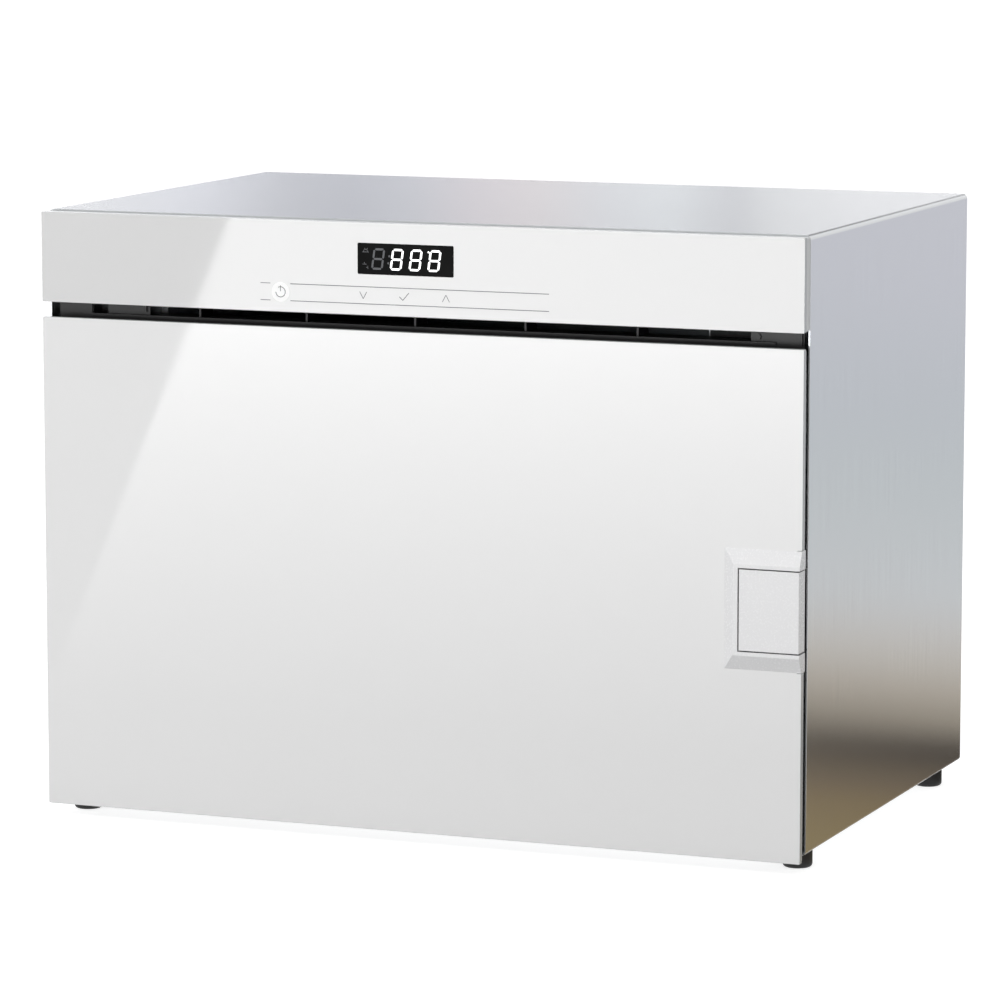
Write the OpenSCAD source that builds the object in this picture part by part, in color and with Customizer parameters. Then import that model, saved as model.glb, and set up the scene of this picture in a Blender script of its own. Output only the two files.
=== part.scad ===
// Countertop steam oven: a stainless U-wrap casing on a steel front frame, a left-hinged glass door
// with a press-to-open latch, a steam generator with its water supply, and an electronics shelf.
// Inside the modules x runs from the casing's left side, y is the depth behind the door's face, and
// z is the height over the worktop. in_place() moves that corner frame to the origin, which is the
// bottom centre of the whole object.

/* [Casing] */
// Width over the casing
casing_w = 495; // [480:1:620]
// Depth from the door's face to the casing's rear edge
casing_d = 329; // [325:1:420]
// Height from the worktop to the casing's top
body_h = 380; // [375:1:470]
// Sheet thickness of the casing
casing_t = 1; // [0.8:0.1:1.2]
// Outside bend radius of the casing's top corners
casing_r = 3; // [2:0.5:6]
// Depth of the casing's front edge behind the door's face
casing_front = 11; // [11:0.5:14]
// Height of the casing's bottom edge over the worktop
casing_z = 11; // [10:1:20]
// Inset of the rear panel from the casing's rear edge
rear_inset = 9; // [8:1:12]
// Diameter of a foot
foot_d = 18; // [14:1:19]

/* [Fascia] */
// Height of the glass fascia
fascia_h = 55.7; // [52:0.1:60]
// Gap between the fascia's top edge and the casing's top
fascia_top_gap = 0.8; // [0.5:0.1:1.5]
// Height of the ventilation slot between the door and the fascia
vent_gap = 9.5; // [9:0.1:11]
// Thickness of the door glass and the fascia glass
glass_t = 4; // [3:0.5:4]
// Width of the display window
display_w = 62.4; // [50:0.2:70]
// Height of the display window
display_h = 18.8; // [16:0.2:21]
// Distance of the display window's left edge from the casing's left side
display_x = 212.2; // [200:0.1:220]
// Distance of the display window's top edge below the fascia's top
display_drop = 12.2; // [10:0.1:14]

/* [Door] */
// Height of the door's bottom edge over the worktop
door_z = 8; // [7:0.5:9]
// Thickness of the door from its face to its inner panel
door_t = 30; // [28:0.5:32]
// Depth of the plastic frame behind the glass
frame_t = 2.5; // [2:0.1:3]
// Diameter of the hinge pins
pin_d = 3; // [2:0.5:3]
// Height of a hinge knuckle
knuckle_h = 12; // [8:1:20]
// Radial clearance of the hinge pins
pin_gap = 0.05; // [0.02:0.01:0.1]

/* [Opener] */
// Width of the opener's bezel
bezel_w = 48.2; // [46:0.2:52]
// Height of the opener's bezel
bezel_h = 72.5; // [68:0.5:80]
// Height that the bezel stands out of the door's face
bezel_proud = 4.5; // [4:0.1:6]
// Width of the opener plate
opener_w = 37; // [34:0.5:38]
// Height of the opener plate
opener_h = 48.5; // [44:0.5:52]
// Height of the opener's centre over the worktop
opener_z = 159; // [150:1:180]
// Width of the bezel's slope on its left side
bezel_slope = 6.8; // [4:0.2:8]
// Height of the bezel's slopes at its top and bottom
bezel_end_slope = 9; // [5:0.5:11]
// Gap between the opener plate and the bezel
plate_gap = 0.7; // [0.4:0.1:1]
// Travel of the opener plate
press_travel = 2.5; // [1.5:0.1:3]

/* [Cavity] */
// Clear width of the steam cavity
cavity_w = 338; // [330:1:345]
// Clear height of the steam cavity
cavity_h = 260; // [255:1:300]
// Depth of the steam cavity behind the front frame
cavity_deep = 268; // [266:1:300]
// Distance of the cavity from the casing's left side
cavity_x = 36; // [34:1:40]
// Height of the cavity's floor over the worktop
cavity_z = 30; // [28:1:34]
// Sheet thickness of the cavity liner
liner_t = 0.8; // [0.6:0.1:1]
// Thickness of the insulation round the cavity
wool_t = 9; // [6:0.5:9]
// Width of a cooking container over its rim
container_w = 325; // [300:1:325]
// Depth of a cooking container over its rim
container_d = 265; // [240:1:265]

/* [Water and steam] */
// Width of the water tank
tank_w = 70; // [60:1:70]
// Height of the water tank without its lid
tank_h = 226; // [180:1:228]
// Depth of the water tank
tank_d = 138; // [110:1:140]
// Outside diameter of the steam generator
boiler_d = 64; // [50:1:66]
// Height of the steam generator's body
boiler_h = 92; // [70:1:110]
// Diameter of the fan impeller
impeller_d = 80; // [60:1:86]

/* [Hidden] */
$fn = 48;
e = 0.1;
slip = 0.3;

// Depths behind the door's face
pan_y0 = glass_t + frame_t;
plate_y = door_t + 3;
plate_t = 1;
liner_y = plate_y + plate_t;
liner_end = liner_y + cavity_deep + liner_t;
rear_y = casing_d - rear_inset;
inner_x1 = casing_w - casing_t;

// Heights over the worktop
fascia_z1 = body_h - fascia_top_gap;
fascia_z = fascia_z1 - fascia_h;
door_z1 = fascia_z - vent_gap;
pan_z = casing_z + casing_t;
floor_z = pan_z + casing_t;
cavity_z1 = cavity_z + cavity_h;
shelf_z = cavity_z1 + liner_t + wool_t + 4.2;
shelf_top = shelf_z + 1;
frame_top = body_h - casing_t - 1.5;

// Door hinge: one vertical axis at the left, just behind the glass
hinge_x = 3.2;
hinge_y = glass_t + 3;
knuckle_r = 2.8;
hinge_zs = [door_z + 28, door_z1 - 28 - knuckle_h];
ear_t = 2;
ear_gap = 0.25;

// Opener and latch
bezel_x = casing_w - bezel_w;
opener_x = casing_w - opener_w - plate_gap;
opener_face = -bezel_proud + 0.2;
hook_x = casing_w - 22;
hook_y = 14;
hook_pin_r = 2;
tail_x = 12;
hook_z0 = opener_z - 4;
hook_h = 8;
catch_z = [opener_z - 14, opener_z + 14];

// Cavity neighbours
cavity_r = 12;
cavity_x1 = cavity_x + cavity_w;
cavity_mid = [cavity_x + cavity_w / 2, liner_y + cavity_deep / 2];
exhaust = [cavity_x + 60, liner_y + 30];
probe_x = cavity_x1 - 50;
probe_z = cavity_z1 - 34;
wool_x = cavity_x - liner_t - e - wool_t;
wool_x1 = cavity_x1 + liner_t + e + wool_t;
bay_t = 1.5;
bay_x = wool_x1 + 0.6 + bay_t;
bay_x1 = bay_x + tank_w + 2;
bay_z = 40;
tank_z = bay_z + 1;
bay_z1 = tank_z + tank_h + 18;
bay_end = liner_y + tank_d + 8;
tank_y = plate_y + 2;
tank_end = tank_y + tank_d;
catch_x = bay_x1 + bay_t + 0.5;
couple_x = bay_x1 - 18;
couple_z = bay_z + 22;
boiler_x = bay_x1 - 24;
boiler_y = bay_end + 74;
boiler_z = floor_z + 28;
pump_x = bay_x + 20;
pump_y = bay_end + 22;
steam_z = boiler_z + boiler_h + 60;

// Shelf runners
rack_levels = 4;
rack_pitch = 56;
rack_z = cavity_z + 38;
wire_r = 2;
rim_x = (cavity_w - container_w) / 2;
post_x = rim_x - wire_r - 0.4;
runner_x = rim_x + 3.5;
rack_ys = [liner_y + 26, liner_y + cavity_deep - 40];
stud_zs = [cavity_z + 26, cavity_z1 - 30];
tray_y = liner_y + 1.4;

// Fan
fan_x = 150;
fan_y = rear_y - 75;
fan_h = 34;
fan_box = impeller_d + 26;
shaft_r = 2.5;
duct_x = 66;
duct_z1 = fascia_z - 1.5;

// Electronics, and the cord's way out of the rear panel
board_y = glass_t + 8;
gland_x = 52;
gland_z = shelf_top + 30;
gland_r = 8;
cord_r = 4;

// ---------- shared shapes ----------

module in_place() {
    translate([-casing_w / 2, (bezel_proud - casing_d) / 2, 0]) children();
}

// A block between two corners
module block(lo, hi) {
    translate(lo) cube(hi - lo);
}

// A cylinder that starts at p and runs along one axis
module along_x(p, r, l) {
    translate(p) rotate([0, 90, 0]) cylinder(r = r, h = l);
}

module along_y(p, r, l) {
    translate(p) rotate([-90, 0, 0]) cylinder(r = r, h = l);
}

module along_z(p, r, l) {
    translate(p) cylinder(r = r, h = l);
}

// A rounded rectangle between two corners
module round_rect(lo, hi, r) {
    translate(lo + [r, r]) offset(r = r, $fn = 32) square(hi - lo - [2 * r, 2 * r]);
}

// A plan in x and z, pushed from depth y0 to depth y1
module upright(y0, y1) {
    translate([0, y1, 0]) rotate([90, 0, 0]) linear_extrude(y1 - y0) children();
}

// A shell open towards the front: outer corner lo, hi, wall t, corner radius r
module front_tub(lo, hi, t, r) {
    difference() {
        upright(lo.y, hi.y) round_rect([lo.x, lo.z], [hi.x, hi.z], r);
        upright(lo.y - 1, hi.y - t)
            round_rect([lo.x + t, lo.z + t], [hi.x - t, hi.z - t], max(r - t, 0.3));
    }
}

// A pan-head screw that points along +y, with its head's underside at p
module screw_y(p, r, l, head_r, head_h) {
    along_y(p, r, l);
    along_y(p - [0, head_h, 0], head_r, head_h);
}

// ---------- casing ----------

rear_tab_zs = [60, (pan_z + body_h) / 2, body_h - 40];
rear_tab_xs = [110, casing_w - 110];
tab_w = 16;
tab_l = 14;
tab_y = rear_y - 1.2;

module casing_profile(inset, r) {
    difference() {
        round_rect([inset, casing_z - 20], [casing_w - inset, body_h - inset], r);
        translate([-1, -20]) square([casing_w + 2, casing_z + 20]);
    }
}

module outer_casing() in_place() color("silver") {
    difference() {
        union() {
            difference() {
                upright(casing_front, casing_d) casing_profile(0, casing_r);
                upright(casing_front - 1, casing_d + 1)
                    casing_profile(casing_t, casing_r - casing_t);
            }
            // Bottom flanges that carry the base pan
            for (x = [0, casing_w - 18])
                block([x, casing_front, casing_z], [x + 18, casing_d - 10, casing_z + casing_t]);
            // Tabs for the rear panel's screws
            for (z = rear_tab_zs) {
                block([casing_t / 2, tab_y, z - tab_w / 2], [casing_t + tab_l, tab_y + 1.2, z + tab_w / 2]);
                block([inner_x1 - tab_l, tab_y, z - tab_w / 2], [inner_x1 + 0.5, tab_y + 1.2, z + tab_w / 2]);
            }
            for (x = rear_tab_xs)
                block([x - tab_w / 2, tab_y, body_h - casing_t - tab_l],
                    [x + tab_w / 2, tab_y + 1.2, body_h - 0.5]);
        }
        for (p = rear_screw_points())
            along_y([p.x, tab_y - 1, p.y], 1.6, 4);
        for (p = foot_points())
            along_z([p.x, p.y, casing_z - 1], 2.2, 4);
    }
}

function rear_screw_points() = concat(
    [for (z = rear_tab_zs) [casing_t + tab_l / 2, z]],
    [for (z = rear_tab_zs) [inner_x1 - tab_l / 2, z]],
    [for (x = rear_tab_xs) [x, body_h - casing_t - tab_l / 2]]);

function foot_points() = [for (x = [12, casing_w - 12]) for (y = [32, casing_d - 32]) [x, y]];

module base_pan() in_place() color("gainsboro") {
    difference() {
        union() {
            block([casing_t + e, casing_front + 2, pan_z], [inner_x1 - e, rear_y - 2, pan_z + casing_t]);
            for (x = [casing_t + e, inner_x1 - e - 1])
                block([x, plate_y + 14, pan_z], [x + 1, rear_y - 2, pan_z + 12]);
        }
        for (p = foot_points())
            along_z([p.x, p.y, pan_z - 1], 2.2, 4);
        for (x = [60:24:casing_w - 60])
            for (y = [90, 150, 210, 270])
                block([x, y, pan_z - 1], [x + 4, y + 30, pan_z + 3]);
    }
}

module rear_panel() in_place() color("silver") {
    difference() {
        union() {
            upright(rear_y, rear_y + 1)
                round_rect([casing_t + e, pan_z + 1.2], [inner_x1 - e, body_h - casing_t - e], casing_r);
            // Ledge for the electronics shelf
            block([30, rear_y - 12, shelf_z - 1], [casing_w - 30, rear_y + 0.5, shelf_z]);
        }
        for (p = rear_screw_points())
            along_y([p.x, rear_y - 1, p.y], 1.8, 4);
        along_y([gland_x, rear_y - 1, gland_z], gland_r + 0.2, 4);
        // Air slots beside the fan and the power board
        for (x = [110:12:400])
            for (z = [shelf_top + 14, shelf_top + 40])
                block([x, rear_y - 1, z], [x + 5, rear_y + 3, z + 18]);
        for (x = [110:14:380])
            block([x, rear_y - 1, 60], [x + 6, rear_y + 3, 90]);
    }
}

module rear_panel_screws() in_place() color("dimgray")
    for (p = rear_screw_points())
        translate([p.x, rear_y + 1, p.y]) rotate([0, 0, 180]) screw_y([0, 0, 0], 1.5, 8, 3.4, 2.2);

module feet() in_place() color("#1c1c1e")
    for (p = foot_points())
        difference() {
            translate([p.x, p.y, 0]) rotate_extrude()
                polygon([[0, 0], [foot_d / 2 - 2.4, 0], [foot_d / 2 - 0.8, 0.8], [foot_d / 2, 2.4],
                    [foot_d / 2, casing_z], [0, casing_z]]);
            along_z([p.x, p.y, -1], 4.2, casing_z - 2.1);
            along_z([p.x, p.y, 5], 2.2, 20);
        }

module foot_screws() in_place() color("dimgray")
    for (p = foot_points()) {
        along_z([p.x, p.y, casing_z - 5.5], 4, 2.4);
        along_z([p.x, p.y, casing_z - 3.2], 2, floor_z - casing_z + 3.2);
    }

// ---------- front frame and cavity ----------

module front_frame() in_place() color("silver") {
    difference() {
        union() {
            block([1.4, plate_y, floor_z], [casing_w - 1.4, plate_y + plate_t, frame_top]);
            for (x = [1.4, casing_w - 2.4])
                block([x, plate_y, floor_z], [x + 1, plate_y + 12, frame_top]);
            block([1.4, plate_y, frame_top - 1], [casing_w - 1.4, plate_y + 12, frame_top]);
            block([16, plate_y, floor_z], [casing_w - 16, plate_y + 12, floor_z + 1]);
            block([30, plate_y, shelf_z - 1], [casing_w - 30, plate_y + 12, shelf_z]);
        }
        upright(plate_y - 1, plate_y + 2)
            round_rect([cavity_x, cavity_z], [cavity_x1, cavity_z1], cavity_r);
        upright(plate_y - 1, plate_y + 2)
            round_rect([bay_x, bay_z], [bay_x1, bay_z1], 3);
        block([catch_x + 0.4, plate_y - 1, catch_z[0]], [hook_x + 12, plate_y + 2, catch_z[1]]);
        block([duct_x + 4, plate_y - 1, shelf_top + 8], [casing_w - duct_x - 4, plate_y + 2, fascia_z - 1]);
        upright(plate_y - 1, plate_y + 2)
            round_rect([40, fascia_z + 6], [casing_w - 40, frame_top - 6], 3);
    }
}

module cavity_liner() in_place() color("#c9ccce") {
    difference() {
        union() {
            front_tub([cavity_x - liner_t, liner_y, cavity_z - liner_t],
                [cavity_x1 + liner_t, liner_end, cavity_z1 + liner_t], liner_t, cavity_r + liner_t);
            // Front flange against the frame
            difference() {
                upright(liner_y, liner_y + liner_t)
                    round_rect([cavity_x - 7, cavity_z - 7], [cavity_x1 + 7, cavity_z1 + 7], 16);
                upright(liner_y - 1, liner_y + 2)
                    round_rect([cavity_x, cavity_z], [cavity_x1, cavity_z1], cavity_r);
            }
        }
        along_x([cavity_x1 - 1, boiler_y, steam_z], 7.1, 4);
        along_y([probe_x, liner_end - 3, probe_z], 3.1, 6);
        for (x = [cavity_x - 2, cavity_x1 - 1])
            for (y = rack_ys)
                for (z = stud_zs)
                    along_x([x, y, z], 2.1, 3);
        along_z([exhaust.x, exhaust.y, cavity_z1 - 1], 8.1, 4);
    }
}

module cavity_insulation() in_place() color("#d8cfae") {
    difference() {
        upright(liner_y + 2, liner_end + e + wool_t)
            round_rect([wool_x, cavity_z - liner_t - e - wool_t],
                [wool_x1, cavity_z1 + liner_t + e + wool_t], 14);
        upright(liner_y, liner_end + e)
            round_rect([cavity_x - liner_t - e, cavity_z - liner_t - e],
                [cavity_x1 + liner_t + e, cavity_z1 + liner_t + e], cavity_r + liner_t);
        // Cut-outs for the heater, the nozzle, the probe, the studs and the exhaust
        along_z([cavity_mid.x, cavity_mid.y, 0], 66, cavity_z);
        along_x([cavity_x1, boiler_y, steam_z], 11, 20);
        along_y([probe_x, liner_end - 1, probe_z], 8, 20);
        for (x = [wool_x - 1, cavity_x1])
            for (y = rack_ys)
                for (z = stud_zs)
                    along_x([x, y, z], 5, 12);
        along_z([exhaust.x, exhaust.y, cavity_z1], 10, 20);
    }
}

module door_seal() in_place() color("#3a3c3e")
    upright(door_t + slip, plate_y) difference() {
        round_rect([cavity_x - 11, cavity_z - 11], [cavity_x1 + 9, cavity_z1 + 11], 20);
        round_rect([cavity_x - 3, cavity_z - 3], [cavity_x1 + 3, cavity_z1 + 3], 14);
    }

// One wire ladder: two posts and a pair of runner wires at each level, on the left wall
module rack() {
    y0 = rack_ys[0] - 18;
    y1 = rack_ys[1] + 30;
    difference() {
        union() {
            for (y = rack_ys) {
                along_z([post_x, y, stud_zs[0] - 12], wire_r, stud_zs[1] - stud_zs[0] + 24);
                for (z = stud_zs)
                    block([1.6, y - 7, z - 7], [3.6, y + 7, z + 7]);
            }
            for (i = [0:rack_levels - 1]) {
                z = rack_z + i * rack_pitch;
                for (h = [0, 13]) {
                    along_y([runner_x, y0, z + h], wire_r, y1 - y0);
                    for (y = rack_ys)
                        along_x([post_x, y, z + h], wire_r - 0.2, runner_x - post_x);
                }
            }
        }
        for (y = rack_ys)
            for (z = stud_zs)
                along_x([0, y, z], 2.15, 3.8);
    }
}

module shelf_rack_left() in_place() color("silver")
    translate([cavity_x, 0, 0]) rack();

module shelf_rack_right() in_place() color("silver")
    translate([cavity_x1, 0, 0]) mirror([1, 0, 0]) rack();

// A stud through each side wall with a collar inside and a nut outside
module stud() {
    along_x([-4.8, 0, 0], 2, 8.6);
    along_x([0, 0, 0], 3.4, 1.5);
    along_x([-4.8, 0, 0], 3.6, 3.9);
}

module rack_studs() in_place() color("dimgray")
    for (y = rack_ys)
        for (z = stud_zs) {
            translate([cavity_x, y, z]) stud();
            translate([cavity_x1, y, z]) mirror([1, 0, 0]) stud();
        }

// A cooking container with a rim, hung between the lower and the upper wire of one level
module container(level, depth, holes) {
    z1 = rack_z + level * rack_pitch + wire_r + 0.1;
    x0 = cavity_x + rim_x;
    x1 = cavity_x1 - rim_x;
    y0 = tray_y;
    y1 = tray_y + container_d;
    lip = 13;
    difference() {
        union() {
            translate([0, 0, z1]) linear_extrude(0.8) round_rect([x0, y0], [x1, y1], 12);
            translate([0, 0, z1 - depth]) linear_extrude(depth)
                round_rect([x0 + lip, y0 + lip], [x1 - lip, y1 - lip], 24);
        }
        translate([0, 0, z1 - depth + 0.8]) linear_extrude(depth + 2)
            round_rect([x0 + lip + 0.8, y0 + lip + 0.8], [x1 - lip - 0.8, y1 - lip - 0.8], 23.2);
        if (holes)
            translate([0, 0, z1 - depth - 1]) linear_extrude(3)
                for (x = [x0 + 40:20:x1 - 36])
                    for (y = [y0 + 36:20:y1 - 32])
                        translate([x, y]) circle(2.5, $fn = 8);
    }
}

module steam_container() in_place() color("#d5d7d9") container(2, 40, true);

module drip_tray() in_place() color("#d5d7d9") container(0, 28, false);

module floor_heater() in_place() color("#8e9296") {
    c = [cavity_mid.x, cavity_mid.y, 0];
    along_z(c + [0, 0, cavity_z - liner_t - 5], 62, 5);
    for (s = [-1, 1])
        along_z(c + [s * 20, 0, cavity_z - liner_t - 9], 4, 5);
}

// ---------- water and steam ----------

module steam_generator() in_place() color("#b9bec2") {
    difference() {
        union() {
            along_z([boiler_x, boiler_y, boiler_z], boiler_d / 2, boiler_h);
            for (a = [45:90:315])
                translate([boiler_x, boiler_y, 0]) rotate(a)
                    block([boiler_d / 2 - 10, -3, floor_z], [boiler_d / 2 - 4, 3, boiler_z + 1]);
            along_y([boiler_x, boiler_y - boiler_d / 2 - 10, boiler_z + boiler_h - 26], 4, 14);
        }
        along_z([boiler_x, boiler_y, boiler_z + 1], boiler_d / 2 - 1, boiler_h);
        along_y([boiler_x, boiler_y - boiler_d / 2 - 12, boiler_z + boiler_h - 26], 2.6, 20);
    }
}

lid_z = boiler_z + boiler_h;
element_xs = [-14, 14];

module generator_lid() in_place() color("#a4aab0") {
    difference() {
        union() {
            along_z([boiler_x, boiler_y, lid_z], boiler_d / 2 + 1.5, 4);
            along_z([boiler_x, boiler_y, lid_z], 7, 16);
        }
        along_z([boiler_x, boiler_y, lid_z - 1], 5, 20);
        for (s = element_xs)
            along_z([boiler_x, boiler_y + s, lid_z - 1], 3.3, 8);
    }
}

module heating_element() in_place() color("#6d6a66") {
    z0 = boiler_z + 14;
    ring_r = 14;
    translate([boiler_x, boiler_y, z0]) rotate(90) rotate_extrude(angle = 360)
        translate([ring_r, 0]) circle(3);
    for (s = element_xs)
        along_z([boiler_x, boiler_y + s, z0], 3, lid_z + 12 - z0);
}

module overheat_cutout() in_place() color("#2c2c2e") {
    along_z([boiler_x - 18, boiler_y, lid_z + 4], 8, 6);
    for (s = [-3, 3])
        block([boiler_x - 19, boiler_y + s - 1, lid_z + 10], [boiler_x - 17, boiler_y + s + 1, lid_z + 18]);
}

// Steam pipe: up from the lid, a quarter bend, then left to the nozzle
bend_r = 24;
nozzle_x1 = wool_x1 + 8;

hose_bore = 7.2;
hose_wall = 2;
hose_top = steam_z - bend_r;

module steam_run(r, past) {
    z0 = lid_z + 5 - past;
    x0 = nozzle_x1 - 14 - past;
    along_z([boiler_x, boiler_y, z0], r, hose_top - z0);
    translate([boiler_x - bend_r, boiler_y, hose_top]) quarter_up(bend_r, r);
    along_x([x0, boiler_y, steam_z], r, boiler_x - bend_r - x0);
}

module steam_hose() in_place() color("#d9d6cf")
    difference() {
        steam_run(hose_bore + hose_wall, 0);
        steam_run(hose_bore, 1);
    }

// A bend that starts upwards at [radius, 0, 0] and ends leftwards at [0, 0, radius]
module quarter_up(radius, r) {
    rotate([90, 0, 0]) rotate_extrude(angle = 90) translate([radius, 0]) circle(r);
}

module steam_nozzle() in_place() color("#c2c6c9") {
    difference() {
        union() {
            along_x([cavity_x1 - 1.5, boiler_y, steam_z], 10, 1.5);
            along_x([cavity_x1 - 1.5, boiler_y, steam_z], 7, nozzle_x1 - cavity_x1 + 1.5);
        }
        along_x([cavity_x1, boiler_y, steam_z], 5, nozzle_x1 - cavity_x1 + 2);
        along_x([cavity_x1 - 3, boiler_y, steam_z], 2.4, 6);
    }
}

module temperature_probe() in_place() color("#c2c6c9") {
    p = [probe_x, liner_end - 26, probe_z];
    along_y(p, 2.2, 38);
    along_y(p + [0, 26 - liner_t - 2, 0], 3, 2 + liner_t);
    along_y(p + [0, 26, 0], 6, 5);
}

module tank_bay() in_place() color("#5c6268") {
    difference() {
        union() {
            front_tub([bay_x - bay_t, liner_y, bay_z - bay_t],
                [bay_x1 + bay_t, bay_end, bay_z1 + bay_t], bay_t, 4.5);
            for (x = [bay_x + 6, bay_x1 - 9])
                block([x, liner_y + 14, floor_z], [x + 3, bay_end, bay_z - 0.5]);
        }
        along_y([couple_x, bay_end - 3, couple_z], 7.2, 6);
    }
}

module water_tank() in_place() color("lightblue", 0.6) {
    x0 = bay_x + 1;
    difference() {
        upright(tank_y, tank_y + tank_d)
            round_rect([x0, tank_z], [x0 + tank_w, tank_z + tank_h], 5);
        block([x0 + 2, tank_y + 2, tank_z + 2], [x0 + tank_w - 2, tank_y + tank_d - 2, tank_z + tank_h + 1]);
        along_y([couple_x, tank_y + tank_d - 3, couple_z], 4.1, 6);
    }
}

module water_tank_lid() in_place() color("#aab4bc") {
    x0 = bay_x + 1;
    z = tank_z + tank_h;
    block([x0, tank_y, z], [x0 + tank_w, tank_y + tank_d, z + 3]);
    difference() {
        block([x0 + 4, tank_y, z + 2], [x0 + tank_w - 4, tank_y + 8, z + 15]);
        block([x0 + 10, tank_y - 1, z + 4], [x0 + tank_w - 10, tank_y + 5, z + 13]);
    }
    block([x0 + 2.3, tank_y + 2.3, z - 4], [x0 + tank_w - 2.3, tank_y + tank_d - 2.3, z + 1]);
}

module tank_coupling() in_place() color("#2c2c2e")
    difference() {
        union() {
            along_y([couple_x, tank_y + tank_d, couple_z], 8, 2);
            along_y([couple_x, tank_y + tank_d - 2, couple_z], 4, 12);
        }
        along_y([couple_x, tank_y + tank_d - 3, couple_z], 2.4, 20);
    }

module coupling_socket() in_place() color("#2c2c2e")
    difference() {
        union() {
            along_y([couple_x, tank_end + 2.3, couple_z], 7, bay_end + 8 - tank_end - 2);
            along_y([couple_x, bay_end, couple_z], 10, 3);
            along_y([couple_x, bay_end, couple_z], 4, 22);
        }
        along_y([couple_x, tank_end, couple_z], 4.1, 10.4);
        along_y([couple_x, tank_end, couple_z], 2.4, 60);
    }

pump_z = floor_z + 34;

module feed_pump() in_place() color("#33383d") {
    along_z([pump_x, pump_y, pump_z], 13, 46);
    block([pump_x - 15, pump_y - 15, pump_z + 10], [pump_x + 15, pump_y + 15, pump_z + 36]);
    along_z([pump_x, pump_y, pump_z - 12], 4, 13);
    along_z([pump_x, pump_y, pump_z + 45], 4, 13);
}

module pump_bracket() in_place() color("silver")
    difference() {
        union() {
            block([pump_x - 20, pump_y - 14, floor_z], [pump_x + 16, pump_y + 14, floor_z + 1.5]);
            block([pump_x - 20, pump_y - 14, floor_z], [pump_x - 18.5, pump_y + 14, pump_z]);
            block([pump_x - 20, pump_y - 14, pump_z - 1.5], [pump_x + 14, pump_y + 14, pump_z]);
        }
        along_z([pump_x, pump_y, pump_z - 3], 4.3, 6);
    }

// Rubber water hoses: coupling to pump, and pump to steam generator
module water_hoses() in_place() color("#e3e1da") {
    hose_r = 6;
    z_in = pump_z - 16;
    z_out = pump_z + 64;
    boiler_in = boiler_z + boiler_h - 26;
    // Coupling to the pump's lower stub
    difference() {
        union() {
            along_y([couple_x, bay_end + 9, couple_z], hose_r, pump_y - bay_end - 9);
            translate([couple_x, pump_y, couple_z]) sphere(hose_r);
            along_z([couple_x, pump_y, min(z_in, couple_z)], hose_r, abs(couple_z - z_in));
            translate([couple_x, pump_y, z_in]) sphere(hose_r);
            along_x([pump_x, pump_y, z_in], hose_r, couple_x - pump_x);
            translate([pump_x, pump_y, z_in]) sphere(hose_r);
            along_z([pump_x, pump_y, z_in], hose_r, pump_z - 3 - z_in);
        }
        along_y([couple_x, bay_end + 8, couple_z], 4.1, 15);
        along_z([pump_x, pump_y, pump_z - 12.5], 4.1, 20);
    }
    // Pump's upper stub to the generator's inlet
    difference() {
        union() {
            along_z([pump_x, pump_y, pump_z + 48], hose_r, z_out - pump_z - 48);
            translate([pump_x, pump_y, z_out]) sphere(hose_r);
            along_x([pump_x, pump_y, z_out], hose_r, boiler_x - pump_x);
            translate([boiler_x, pump_y, z_out]) sphere(hose_r);
            along_z([boiler_x, pump_y, min(z_out, boiler_in)], hose_r, abs(z_out - boiler_in));
            translate([boiler_x, pump_y, boiler_in]) sphere(hose_r);
            along_y([boiler_x, pump_y, boiler_in], hose_r, boiler_y - boiler_d / 2 - 1 - pump_y);
        }
        along_z([pump_x, pump_y, pump_z + 47], 4.1, 11.5);
        along_y([boiler_x, boiler_y - boiler_d / 2 - 10.5, boiler_in], 4.1, 20);
    }
}

// ---------- electronics shelf ----------

module electronics_shelf() in_place() color("gainsboro") {
    difference() {
        union() {
            block([3, liner_y + e, shelf_z], [casing_w - 3, rear_y - e, shelf_top]);
            for (x = [3, casing_w - 4])
                block([x, liner_y + 14, shelf_z], [x + 1, rear_y - 6, shelf_z + 10]);
        }
        along_z([exhaust.x, exhaust.y, shelf_z - 1], 8.5, 4);
        for (x = [250:12:430])
            block([x, 200, shelf_z - 1], [x + 4, 240, shelf_top + 1]);
    }
}

fan_z = shelf_top;
inlet_r = impeller_d / 2 - 8;
motor_z = fan_z + fan_h + 7;
motor_h = 20;

module fan_housing() in_place() color("#2e3236") {
    x0 = fan_x - fan_box / 2;
    x1 = fan_x + fan_box / 2;
    y0 = fan_y - fan_box / 2;
    difference() {
        block([x0, y0, fan_z], [x1, fan_y + fan_box / 2, fan_z + fan_h]);
        along_z([fan_x, fan_y, fan_z + 2], fan_box / 2 - 3, fan_h - 4);
        along_z([fan_x, fan_y, fan_z + 3], inlet_r, fan_h);
        // Outlet throat towards the front
        block([x0 + 8, y0 - 1, fan_z + 2], [fan_x + 8, fan_y, duct_z1 - 1.5]);
    }
}

module fan_motor() in_place() color("#54585c") {
    along_z([fan_x, fan_y, motor_z], 21, motor_h);
    along_z([fan_x, fan_y, fan_z + 6], shaft_r, motor_z - fan_z);
    for (a = [0:120:240])
        translate([fan_x, fan_y, 0]) rotate(a + 30) {
            block([19, -3, motor_z], [inlet_r + 7, 3, motor_z + 2]);
            block([inlet_r + 3, -3, fan_z + fan_h], [inlet_r + 7, 3, motor_z + 2]);
        }
}

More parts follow.
